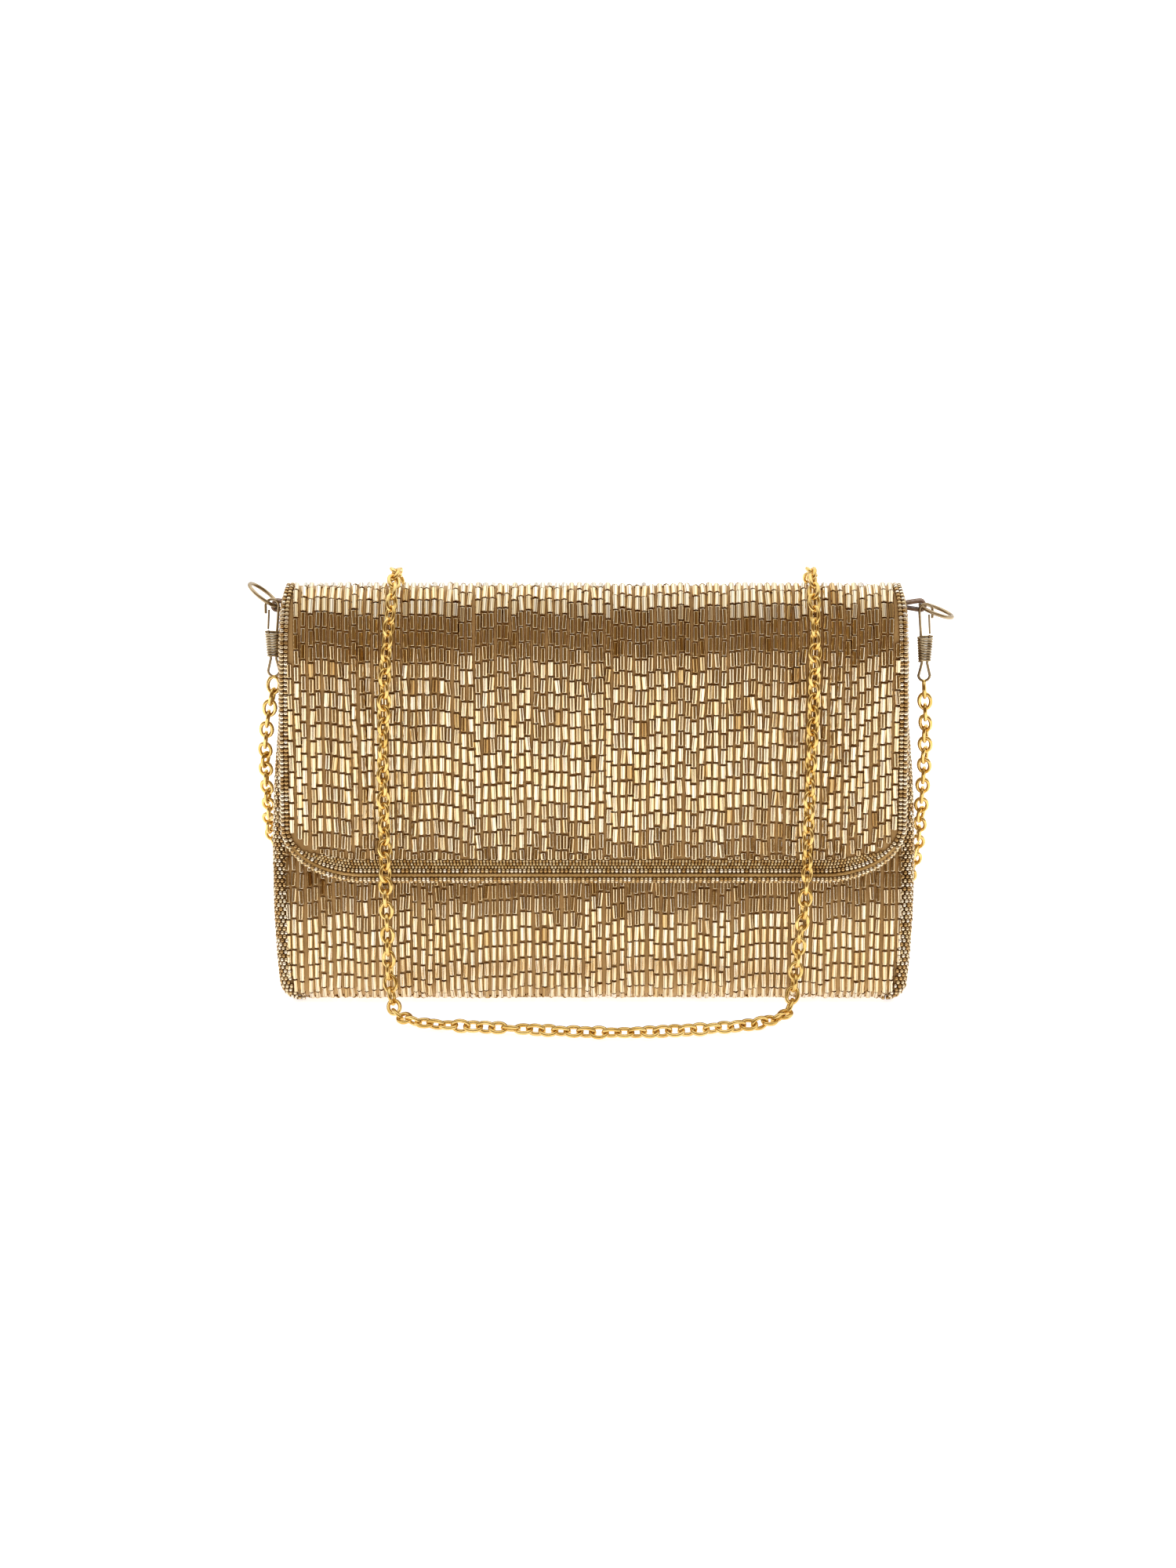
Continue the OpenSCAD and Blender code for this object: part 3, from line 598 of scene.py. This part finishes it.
def onPath(path, s, depth=0.0):
    # (y, z) at a length along the path and a depth below it, with the normal there
    y, z, ny, nz = (np.interp(s, path["s"], path[k]) for k in ("y", "z", "ny", "nz"))
    size = np.hypot(ny, nz)
    ny, nz = ny / size, nz / size
    return y - ny * depth, z - nz * depth, ny, nz


def atHeight(path, z):
    # length along an upright stretch of path at a height
    order = np.argsort(path["z"])
    return np.interp(z, path["z"][order], path["s"][order])


def bottomSink(z):
    # how far the round bottom corner stands in from the side at a height: a quarter circle
    low = np.clip(bag["bottomRadius"] - z, 0, bag["bottomRadius"])
    return bag["bottomRadius"] - np.sqrt(np.maximum(bag["bottomRadius"] ** 2 - low ** 2, 0))


# the front, back and flap as lines in the side view
footArc = np.linspace(0, math.pi / 2, 24)
footIn = bag["foot"] - bag["bottomRadius"]
zDown = np.linspace(bag["frontTop"], bag["bottomRadius"], 240)
frontPath = makePath(
    np.concatenate([frontY(zDown), (-footIn - bag["bottomRadius"] * np.cos(footArc))[1:]]),
    np.concatenate([zDown, (bag["bottomRadius"] * (1 - np.sin(footArc)))[1:]]))
zUp = np.linspace(bag["bottomRadius"], bag["foldZ"] - 0.3, 240)
backPath = makePath(
    np.concatenate([(footIn + bag["bottomRadius"] * np.cos(footArc))[::-1], backY(zUp)[1:]]),
    np.concatenate([(bag["bottomRadius"] * (1 - np.sin(footArc)))[::-1], zUp[1:]]))
rollFrom = math.asin((bag["foldZ"] - flap["rollZ"]) / flap["rollHeight"])
rollArc = np.linspace(rollFrom, math.pi, 160)
zFlap = np.linspace(flap["rollZ"], flap["edgeZ"], 200)
flapPath = makePath(
    np.concatenate([flap["rollY"] + flap["rollRadius"] * np.cos(rollArc), flapY(zFlap)[1:]]),
    np.concatenate([flap["rollZ"] + flap["rollHeight"] * np.sin(rollArc), zFlap[1:]]))


def flapHalf(s, side=0.0, low=0.0):
    # the flap's half width at a length from the fold, less a margin at its side and its lower edge;
    # the lower corners are quarter ellipses
    _, z, _, _ = onPath(flapPath, s)
    drop = np.clip((s - flapPath["length"] + flap["cornerTall"]) / (flap["cornerTall"] - low), 0, 1)
    return flapX(z) - flap["cornerWide"] + (flap["cornerWide"] - side) * np.sqrt(1 - drop ** 2)


def foldBlend(obj, node=None):
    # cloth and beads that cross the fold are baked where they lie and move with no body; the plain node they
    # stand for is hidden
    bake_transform(obj)
    if node:
        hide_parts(node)


# beading, in mm and radians. The spreads are standard deviations
beads = {
    "radius": 1.07,
    "radiusSpread": 0.03,
    "length": 4.85,
    "lengthSpread": 0.14,
    "shortest": 0.9,
    "columns": 46,  # on each side of the middle one
    "columnPitch": 2.43,
    "rowPitch": 5.42,
    "depth": 1.07,  # of the bead's middle below the outer face
    "depthSpread": 0.05,
    "rowStep": 1.0,
    "slip": 0.09,
    "drift": 0.08,
    "mostDrift": 0.3,
    "sideSpread": 0.05,
    "lean": 0.035,
    "pitchLean": 0.022,
    "turn": 0.05,
    "mostSink": 0.5,
}


def bugleField(name, path, sFrom, endAt, halfAt, keep=None, slim=0.0):
    # columns of bugle beads, strung from the lower edge up. Each column drifts off its neighbours
    # with height, by a walk across the panel, and its beads lean a degree or two
    b = beads
    columns = np.arange(-b["columns"], b["columns"] + 1) * b["columnPitch"]
    pitch = b["rowPitch"]
    walk = np.cumsum(rng.normal(0, b["rowStep"], len(columns)))
    walk = walk - np.linspace(0, walk[-1], len(walk))
    sTo = endAt(columns)[:, None]
    rows = int((sTo.max() - sFrom) / pitch) + 2
    phase = np.mod(walk, pitch)[:, None]
    slip = np.cumsum(rng.normal(0, b["slip"], (len(columns), rows)), 1)
    s = sTo - phase - (np.arange(rows)[None] + 0.5) * pitch + slip
    length = b["length"] + rng.normal(0, b["lengthSpread"], s.shape)
    # a short bead fills what is left at the lower edge
    s, length = np.append(s, sTo - phase / 2, 1), np.append(length, phase - 0.5, 1)
    drift = np.cumsum(rng.normal(0, b["drift"], s.shape), 1)
    drift -= drift.mean(1, keepdims=True)
    drift = np.clip(drift, -b["mostDrift"], b["mostDrift"])
    x = columns[:, None] + drift + rng.normal(0, b["sideSpread"], s.shape)
    ok = (length > b["shortest"]) & (np.abs(x) < halfAt(s) - 1.0)
    ok &= (s - length / 2 > sFrom) & (s + length / 2 < sTo + 0.3)
    if keep is not None:
        ok &= keep(x, s)
    x, s, length = x[ok], s[ok], length[ok]
    # a straight bead on a bent face sits deeper, by its length squared over eight radii
    sink = np.minimum(np.interp(s, path["s"], path["bend"]) * length ** 2 / 8, b["mostSink"])
    y, z, ny, nz = onPath(path, s, b["depth"] + rng.normal(0, b["depthSpread"], len(x)) + sink)
    lean = rng.normal(0, b["lean"], len(x))
    pitchLean = rng.normal(0, b["pitchLean"], len(x))
    axis = np.stack([np.sin(lean), -nz + ny * pitchLean, ny + nz * pitchLean], 1)
    out = np.stack([rng.normal(0, b["turn"], len(x)), ny, nz], 1)
    out = out - np.sum(out * unit(axis), 1, keepdims=True) * unit(axis)
    radius = b["radius"] - slim + rng.normal(0, b["radiusSpread"], len(x))
    return beadPiece(name, np.stack([x, y, z], 1), axis, out, radius, length, bugleGlass, 7, 0.13, True)


def clothPiece(name, path, sFrom, sTo, halfAt, depths, material, fineEdge=False):
    # a sheet between two depths under a path, as wide at each length as halfAt says. A fine edge has
    # its rows closer together towards the end, as the sine of equal steps
    s = np.linspace(sFrom, sTo, 60)
    if fineEdge:
        s = sFrom + (sTo - sFrom) * np.sin(np.linspace(0, math.pi / 2, 110))
    t = np.linspace(-1, 1, 49)
    grids = []
    for depth in depths:
        y, z, _, _ = onPath(path, s, depth)
        x = t[:, None] * np.maximum(halfAt(s), 0.5)[None]
        grids.append(np.stack([x, np.broadcast_to(y, x.shape), np.broadcast_to(z, x.shape)], -1))
    return shellPiece(name, grids[0], grids[1], material)


def panelHalf(path):
    # the panel stops inside the gusset's rim, and follows the round bottom corner
    def half(s):
        _, z, _, _ = onPath(path, s)
        return sideX(z) - bag["rim"] - bottomSink(z) * 0.62
    return half


frontHalf, backHalf = panelHalf(frontPath), panelHalf(backPath)
snap = {"z": 60.0, "bare": 9.3}  # height of its middle, and the radius left bare round it
snapS = float(atHeight(frontPath, snap["z"]))
awayFromSnap = lambda x, s: np.hypot(x, s - snapS) > snap["bare"]
level = lambda s: lambda x: np.full(len(x), s)  # all columns end at the same length
frontBeads = bugleField("frontBugleBeads", frontPath, 0.4, level(frontPath["length"] - 0.5), frontHalf,
                        awayFromSnap, 0.11)
backBeads = bugleField("backBugleBeads", backPath, 1.0, level(backPath["length"] - 0.2), backHalf)
trim = {"side": 2.9, "low": 7.4}  # width of the seed edging at the flap's sides and lower edge
inFlap = lambda x, s: np.abs(x) < flapHalf(s, trim["side"], trim["low"]) - 0.4


def flapEnd(x):
    # where each column meets the edging: the quarter ellipse of the lower corner at its inner edge
    out = (np.abs(x) - flap["half"] + flap["cornerWide"]) / (flap["cornerWide"] - trim["side"])
    arch = np.sqrt(1 - np.clip(out, 0, 1) ** 2)
    return flapPath["length"] - flap["cornerTall"] + (flap["cornerTall"] - trim["low"]) * arch


flapBeads = bugleField("flapBugleBeads", flapPath, 0.2, flapEnd, flapHalf, inFlap)
# cloth: outer and inner face, in mm below the path
cloth, satin = (1.2, 2.6), (3.6, 4.0)
frontCloth = clothPiece("frontPanelCloth", frontPath, 0.0, frontPath["length"], frontHalf, cloth, backingSilk)
backCloth = clothPiece("backPanelCloth", backPath, 0.0, backPath["length"], backHalf, cloth, backingSilk)
flapCloth = clothPiece("flapPanelCloth", flapPath, 0.0, flapPath["length"] - 0.3,
                       lambda s: flapHalf(s, 0.5, 0.5), cloth, backingSilk, True)
flapLining = clothPiece("flapLining", flapPath, 0.0, flapPath["length"] - 0.5,
                        lambda s: flapHalf(s, 1.0, 1.0), satin, liningSatin, True)
sewOn(frontBeads)
sewOn(frontCloth, "front_panel")
sewOn(backBeads)
sewOn(backCloth, "back_panel")
foldBlend(flapBeads)
foldBlend(flapCloth, "flap_panel")
foldBlend(flapLining, "flap_lining")
print("bugle beads laid")


# seed beads, in mm
seeds = {"radius": 0.8, "height": 1.15, "pitch": 1.5}
edging = {
    "seeds": ((0.85, 1.0, 1.0), (2.2, 3.9, 0.85), (0.35, 0.35, 2.6)),  # inset at the side and low edge, depth
    "seedPitch": 1.42,
    "seedHeight": 1.2,
    "gold": ((2.8, 5.15, 38), (3.0, 6.2, 46), (3.2, 7.2, 54)),  # insets, and the angle where the row starts
    "goldPitch": 1.12,
    "goldDepth": 0.95,
    "goldRadius": 0.6,
    "goldHeight": 0.95,
    "cord": (1.5, 2.45, 0.8, 0.9, 24),  # insets, spacing of its points, depth and start angle
    "cordRadius": 0.68,
    "cordTwist": 0.07,
}
gusset = {
    "rowPitch": 1.36,
    "lowest": 1.4,
    "cornerRadius": 2.4,
    "lap": 4.0,  # how far it turns over the front and back edges
    "depth": 0.75,
    "jitter": 0.06,
    "headReach": 7.0,  # the round head inside the roll is part of an ellipse
    "headHeight": 17.2,
    "headTop": 4.5,
}


def seedPiece(name, centre, along, out, material, radius=seeds["radius"], height=seeds["height"]):
    # round seed beads with their holes along the thread
    n = len(centre)
    r = radius + rng.normal(0, radius * 0.04, n)
    h = height + rng.normal(0, height * 0.05, n)
    return beadPiece(name, centre, along, out, r, h, material, bevel=height * 0.32)


def edgeLine(side, low, pitch, depth, fromAngle=0.0):
    # points along the flap's outline, inset from its sides and its lower edge: down one side, round
    # the corner and along to the middle, then the same mirrored. A row with a start angle has no side
    arc = np.linspace(math.radians(fromAngle), math.pi / 2, 90)
    centre = flapPath["length"] - flap["cornerTall"]
    ss = np.linspace(0.6, centre, 120, endpoint=False)
    sx = flapX(onPath(flapPath, ss)[1]) - side
    if fromAngle:
        ss, sx = ss[:0], sx[:0]
    sx = np.concatenate([sx, flap["half"] - flap["cornerWide"] + (flap["cornerWide"] - side) * np.cos(arc)])
    ss = np.concatenate([ss, centre + (flap["cornerTall"] - low) * np.sin(arc)])
    x, s = np.concatenate([sx, -sx[::-1]]), np.concatenate([ss, ss[::-1]])
    run = np.concatenate([[0], np.cumsum(np.hypot(np.diff(x), np.diff(s)))])
    count = int(run[-1] / pitch)
    at = (np.arange(count) + 0.5) * run[-1] / count
    x, s = np.interp(at, run, x), np.interp(at, run, s)
    y, z, ny, nz = onPath(flapPath, s, depth)
    centre3 = np.stack([x, y, z], 1)
    return centre3, unit(np.gradient(centre3, axis=0)), np.stack([np.zeros(count), ny, nz], 1)


seedRows = [edgeLine(side, low, edging["seedPitch"], depth) for side, low, depth in edging["seeds"]]
rows = [np.concatenate(v) for v in zip(*seedRows)]
edgeSeeds = seedPiece("flapEdgeSeedBeads", *rows, seedGlass, seeds["radius"], edging["seedHeight"])
goldRows = [edgeLine(side, low, edging["goldPitch"], edging["goldDepth"], start)
            for side, low, start in edging["gold"]]
rows = [np.concatenate(v) for v in zip(*goldRows)]
edgeGold = seedPiece("flapEdgeGoldBeads", *rows, goldSeedGlass, edging["goldRadius"], edging["goldHeight"])
cordLine = edgeLine(*edging["cord"])[0]
cordRadius = edging["cordRadius"] + edging["cordTwist"] * np.sin(np.arange(len(cordLine)) * 2.2)
edgeCord = tubePiece("flapEdgeCord", cordLine, cordRadius, goldThread, 8)
for piece, node in ((edgeSeeds, "flap_edging"), (edgeGold, None), (edgeCord, None)):
    foldBlend(piece, node)


def gussetBeads(name, side):
    # rows of seed beads round the end: over a rounded front edge, across the end, over the back edge
    g = gusset
    centres, alongs, outs = [], [], []
    r, lap = g["cornerRadius"], g["lap"]
    corner = np.linspace(0, math.pi / 2, 20)
    sin, cos = np.sin(corner), np.cos(corner)
    nx = np.concatenate([[0], sin, cos, [0]])
    ny = np.concatenate([[-1], -cos, sin, [1]])
    for i, z in enumerate(np.arange(g["lowest"], bag["foldZ"] - 0.6, g["rowPitch"])):
        sink = float(bottomSink(z))
        front, back, wide = float(frontY(z)) + sink, float(backY(z)) - sink, float(sideX(z)) - sink
        px = np.concatenate([[wide - lap], wide - r + r * sin, wide - r + r * cos, [wide - lap]])
        py = np.concatenate([[front], front + r - r * cos, back - r + r * sin, [back]])
        run = np.concatenate([[0], np.cumsum(np.hypot(np.diff(px), np.diff(py)))])
        at = np.arange((i % 2) * 0.5 * seeds["pitch"], run[-1], seeds["pitch"])
        at = at + rng.normal(0, g["jitter"], len(at))
        n = unit(np.stack([side * np.interp(at, run, nx), np.interp(at, run, ny), np.zeros(len(at))], 1))
        p = np.stack([side * np.interp(at, run, px), np.interp(at, run, py), np.full(len(at), z)], 1)
        centres.append(p - n * g["depth"])
        alongs.append(np.cross(n, [0, 0, 1.0]))
        outs.append(n)
    # the round head inside the roll
    headX = side * (float(sideX(bag["foldZ"])) - g["depth"])
    for i, h in enumerate(np.arange(bag["foldZ"] - 0.4, bag["foldZ"] + g["headTop"], g["rowPitch"])):
        reach = g["headReach"] * math.sqrt(1 - ((h - flap["rollZ"]) / g["headHeight"]) ** 2)
        at = np.arange(-reach + (i % 2) * 0.7, reach, seeds["pitch"])
        centres.append(np.stack([np.full(len(at), headX), flap["rollY"] + at, np.full(len(at), h)], 1))
        outs.append(np.tile([side, 0.0, 0.0], (len(at), 1)))
        alongs.append(np.tile([0.0, 1.0, 0.0], (len(at), 1)))
    return seedPiece(name, np.concatenate(centres), np.concatenate(alongs), np.concatenate(outs), seedGlass)


def gussetCloth(name, side):
    # the end wall's cloth: a slab between two faces that bulge with the outline
    zs = np.linspace(2.0, bag["foldZ"] - 0.5, 60)
    sink = bottomSink(zs)
    t = np.linspace(0, 1, 16)[:, None]
    y = (frontY(zs) + sink + 0.9) * (1 - t) + (backY(zs) - sink - 0.9) * t
    grids = [np.stack([np.broadcast_to(side * (sideX(zs) - sink - depth), y.shape), y,
                       np.broadcast_to(zs, y.shape)], -1) for depth in (1.4, bag["rim"])]
    return shellPiece(name, grids[0], grids[1], backingSilk)


for side, word in ((-1, "left"), (1, "right")):
    sewOn(gussetBeads("gussetSeedBeads_" + word, side), "gusset_" + word)
    sewOn(gussetCloth("gussetCloth_" + word, side))
print("seed beads laid")


# base, lining, pocket and piping, in mm
base = {"halfWide": 99.5, "halfDeep": 12.5, "under": 0.37, "top": 2.5, "ripple": 0.12}
x, y = np.meshgrid(np.linspace(-base["halfWide"], base["halfWide"], 60),
                   np.linspace(-base["halfDeep"], base["halfDeep"], 12), indexing="ij")
ripple = base["ripple"] * np.sin(x * 0.35) * np.cos(y * 0.5)
baseCloth = shellPiece("baseCloth", np.stack([x, y, base["under"] + ripple], -1),
                       np.stack([x, y, 0 * x + base["top"]], -1), backingSilk)
sewOn(baseCloth, "base_panel")

lining = {
    "top": 125.6,
    "upright": 12.0,  # its walls are upright down to here, then turn in to the bottom
    "bottom": 5.6,
    "depth": 4.65,  # below the outer faces
    "sideGap": 3.1,
    "thick": 0.4,
    "squareness": 0.22,
    "slack": 0.18,
}


def liningLoop(z, n=160):
    # a nearly rectangular loop round the inside of the pouch at a height: cosine and sine, each
    # raised to a small power
    a = np.linspace(0, 2 * math.pi, n, endpoint=False)
    front, back = frontY(z) + lining["depth"], backY(z) - lining["depth"]
    half = sideX(z) - lining["sideGap"] - (lining["depth"] - 4.6)
    c, s = np.cos(a), np.sin(a)
    shape = lambda v: np.sign(v) * np.abs(v) ** lining["squareness"]
    return np.stack([half * shape(c), (front + back) / 2 + (back - front) / 2 * shape(s), np.full(n, z)], 1)


heights = np.linspace(lining["top"], lining["upright"], 36)
outer = np.stack([liningLoop(z) for z in heights])
turnIn = lining["upright"] - lining["bottom"]
foot = [outer[-1] * [k, k, 0] + [0, 0, lining["bottom"] + turnIn * (1 - math.sqrt(max(1 - k ** 6, 0)))]
        for k in (0.995, 0.97, 0.9, 0.7, 0.4, 0.05)]
outer = np.concatenate([outer, np.stack(foot)])
# creases: slanting waves that fade towards the bottom, and fine level ones
fall = np.clip((outer[..., 2] - 8) / 40, 0, 1)
crease = (lining["slack"] * np.sin(outer[..., 0] * 0.21 + outer[..., 2] * 0.08) * fall
          + 0.12 * np.sin(outer[..., 2] * 0.3))
outer[..., 1] -= np.sign(outer[..., 1] + 1.0) * np.abs(crease) * 0.8
middle = outer.mean(axis=1, keepdims=True)
inner = outer + unit(middle - outer) * [lining["thick"], lining["thick"], 0]
inner[-len(foot):] += [0, 0, lining["thick"]]
liningPouch = shellPiece("liningPouch", outer.transpose(1, 0, 2), inner.transpose(1, 0, 2), liningSatin,
                         closeU=True)
sewOn(liningPouch, "lining_pouch")

# the pocket: a flat patch on the back of the lining that stands off a little at its mouth
pocket = {"low": 42.0, "top": 104.0, "half": 60.0, "behind": 5.3, "thick": 0.35, "closed": 0.25, "open": 0.9}
across, up = np.meshgrid(np.linspace(-pocket["half"], pocket["half"], 40),
                         np.linspace(pocket["low"], pocket["top"], 24), indexing="ij")
rise = (up - pocket["low"]) / (pocket["top"] - pocket["low"])
stand = pocket["closed"] + pocket["open"] * (1 - (across / pocket["half"]) ** 4) * rise ** 1.5
behind = backY(up) - pocket["behind"] - stand
slipPocket = shellPiece("slipPocket", np.stack([across, behind - pocket["thick"], up], -1),
                        np.stack([across, behind, up], -1), liningSatin)
sewOn(slipPocket, "slip_pocket")

# piping along the mouth: a cord in satin, faintly twisted
pipe = {"half": 96.8, "z": 129.5, "behind": 2.2, "radius": 1.38, "twist": 0.07}
px = np.linspace(-pipe["half"], pipe["half"], 200)
pipeLine = np.stack([px, 0 * px + float(frontY(bag["frontTop"])) + pipe["behind"], 0 * px + pipe["z"]], 1)
piping = tubePiece("mouthPiping", pipeLine, pipe["radius"] + pipe["twist"] * np.sin(px * 2.4), liningSatin, 12)
sewOn(piping, "mouth_piping")
print("lining made")


# tabs and clips
# in mm, with the left and right places where they differ
tabs = {"x": (-106.6, 110.0), "y": -4.0, "z": 137.2, "bore": 1.15, "half": 1.75, "thick": 0.38, "thread": 0.1}
clips = {
    "x": (-107.9387, 111.5963),
    "y": -8.1012,
    "z": (138.2459, 136.6190),
    "wire": 0.9,
    "coilWire": 0.84,
    "coilTop": -8.6,  # below the ring
    "coilLow": -18.6,
    "legTop": 1.5,  # half the distance between the legs, at the coil's top and bottom
    "legLow": 0.9,
    "turns": 9.5,
}


def tabPiece(name, i):
    # a strap of wrapped thread: out over the ring's wire, round it in half a circle and back under
    side = -1 if i == 0 else 1
    cx, cz = abs(tabs["x"][i]), tabs["z"]
    a = np.linspace(math.pi / 2, -math.pi / 2, 14)
    r = tabs["bore"] + 0.42
    over = np.array([[-9.5, 0.45], [-5, 0.75], [-2.2, 1.25]])
    back = np.array([[-2.2, -1.2], [-5, -0.75], [-9.5, -0.4]])
    line = np.concatenate([over, np.stack([r * np.cos(a), r * np.sin(a)], 1), back]) + [cx, cz]
    v = np.linspace(-1, 1, 31)
    thread = tabs["thread"] * np.abs(np.sin(v * math.pi * 3.5))
    tangent = unit(np.gradient(line, axis=0))
    normal = np.stack([-tangent[:, 1], tangent[:, 0]], 1)
    grids = []
    for lift in (tabs["thick"], -tabs["thick"]):
        rise = np.sign(lift) * thread[None] * (1 if lift > 0 else 0.5) + lift
        px = line[:, 0][:, None] + normal[:, 0][:, None] * rise
        pz = line[:, 1][:, None] + normal[:, 1][:, None] * rise
        grids.append(np.stack([side * px, np.broadcast_to(tabs["y"] + v * tabs["half"], px.shape), pz], -1))
    return shellPiece(name, grids[0], grids[1], copperThread)


def coilPiece(name, i):
    # a helix round the clip's two legs: an oval that narrows towards the bottom
    t = np.linspace(0, clips["turns"] * 2 * math.pi, int(clips["turns"] * 26))
    f = t / t[-1]
    z = clips["coilTop"] - 0.75 + (clips["coilLow"] - clips["coilTop"] + 1.4) * f
    reach = clips["legLow"] + (clips["legTop"] - clips["legLow"]) * (1 - f)
    lap = clips["wire"] / 2 + clips["coilWire"] / 2
    c, s = np.cos(t), np.sin(t)
    px = reach * np.sign(c) * np.abs(c) ** 0.55 + lap * c
    side = -1 if i == 0 else 1
    line = np.stack([clips["x"][i] + side * px, clips["y"] + lap * s, clips["z"][i] + z], 1)
    return tubePiece(name, line, clips["coilWire"] / 2, drawnSteel, 8, (0, 0, 1))


for i, word in enumerate(("left", "right")):
    sewOn(tabPiece("ringTab_" + word, i), "ring_tab_" + word)
    sewOn(coilPiece("clipCoil_" + word, i), "clip_coil_" + word, "clip_" + word[0])
print("tabs and clips made")


# boards, snap, rings and clip wires keep the shapes that were loaded and get their finishes
def finishNode(node, material):
    # the material on every slot of a loaded piece
    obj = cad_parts[node]
    for place in obj.material_slots:
        place.material = material
    if not obj.material_slots:
        obj.data.materials.append(material)


for material, nodes in (
        (buckram, ("front_board", "back_board", "base_board", "flap_board")),
        (snapGold, ("snap_socket", "snap_stud")),
        (zincPlate, ("snap_socket_washer", "snap_stud_washer")),
        (champagneNickel, ("ring_left", "ring_right", "clip_hook_left", "clip_hook_right",
                           "clip_gate_left", "clip_gate_right"))):
    for node in nodes:
        finishNode(node, material)


# floor and light, in metres and watts
floor = {"half": 6.0, "front": -0.45, "back": 12.0, "glow": 0.8}
room = {"white": "#FFFFFF", "brown": "#80623A", "strength": 0.98}
floorMat, floorTree, floorSurface = startMaterial("matt_white_table", {
    "Roughness": 0.55, "Emission Color": room["white"], "Emission Strength": floor["glow"]})
floorNoise = objectNoise(floorTree, 3.0, 2.0)
floorShade = addNode(floorTree, "ShaderNodeValToRGB", {}, {"Fac": floorNoise},
                     ramp=[(0.3, "#DEDCD8"), (0.7, "#E6E4E0")])
floorTree.links.new(floorShade.outputs[0], floorSurface.inputs["Base Color"])
half, front, back = floor["half"], floor["front"], floor["back"]
corners = np.array([[-half, front, 0], [half, front, 0], [half, back, 0], [-half, back, 0]]) / mm
meshPiece("tableTop", corners, [[0, 1, 2, 3]], [], floorMat, smooth=False)


def areaLight(name, place, aim, size, power):
    # a rectangular softbox turned so that it shines from its place to its aim
    data = bpy.data.lights.new(name, "AREA")
    data.shape = "RECTANGLE"
    data.size, data.size_y = size
    data.energy = power
    lamp = bpy.data.objects.new(name, data)
    lamp.location = place
    d = np.array(aim, float) - np.array(place, float)
    flatRun = math.hypot(d[0], d[1])
    lamp.rotation_euler = (math.atan2(flatRun, -d[2]), 0, math.atan2(d[1], d[0]) - math.pi / 2)
    bpy.context.scene.collection.objects.link(lamp)


areaLight("ceilingSoftbox", (0.0, -0.2, 2.6), (0, 0, 0), (5.0, 4.0), 14)
areaLight("backSoftbox", (0.0, 5.0, 3.5), (0, 5.0, 0), (10.0, 8.0), 110)

# the room: white all round and above. What the beads reflect from in front, up to 45 degrees, is brown
world = bpy.data.worlds.new("room")
bpy.context.scene.world = world
world.use_nodes = True
sky = world.node_tree
sky.nodes.clear()
way = addNode(sky, "ShaderNodeTexCoord").outputs["Generated"]
parts = addNode(sky, "ShaderNodeSeparateXYZ", {}, {0: way})
above = addNode(sky, "ShaderNodeMapRange", {"From Min": 0.62, "From Max": 0.80}, {0: parts.outputs[2]})
rear = addNode(sky, "ShaderNodeMapRange", {"From Min": -0.45, "From Max": -0.15}, {0: parts.outputs[1]})
light = addNode(sky, "ShaderNodeMath", {"operation": "MAXIMUM"}, {0: above.outputs[0], 1: rear.outputs[0]})
seen = addNode(sky, "ShaderNodeLightPath").outputs["Is Camera Ray"]
light = addNode(sky, "ShaderNodeMath", {"operation": "MAXIMUM"}, {0: light.outputs[0], 1: seen})
shade = addNode(sky, "ShaderNodeValToRGB", {}, {"Fac": light.outputs[0]},
                ramp=[(0.0, room["brown"]), (1.0, room["white"])])
glow = addNode(sky, "ShaderNodeBackground", {"Strength": room["strength"]}, {"Color": shade.outputs[0]})
addNode(sky, "ShaderNodeOutputWorld", {}, {"Surface": glow.outputs[0]})
bpy.context.scene.view_settings.view_transform = "Standard"

print("scene ready")
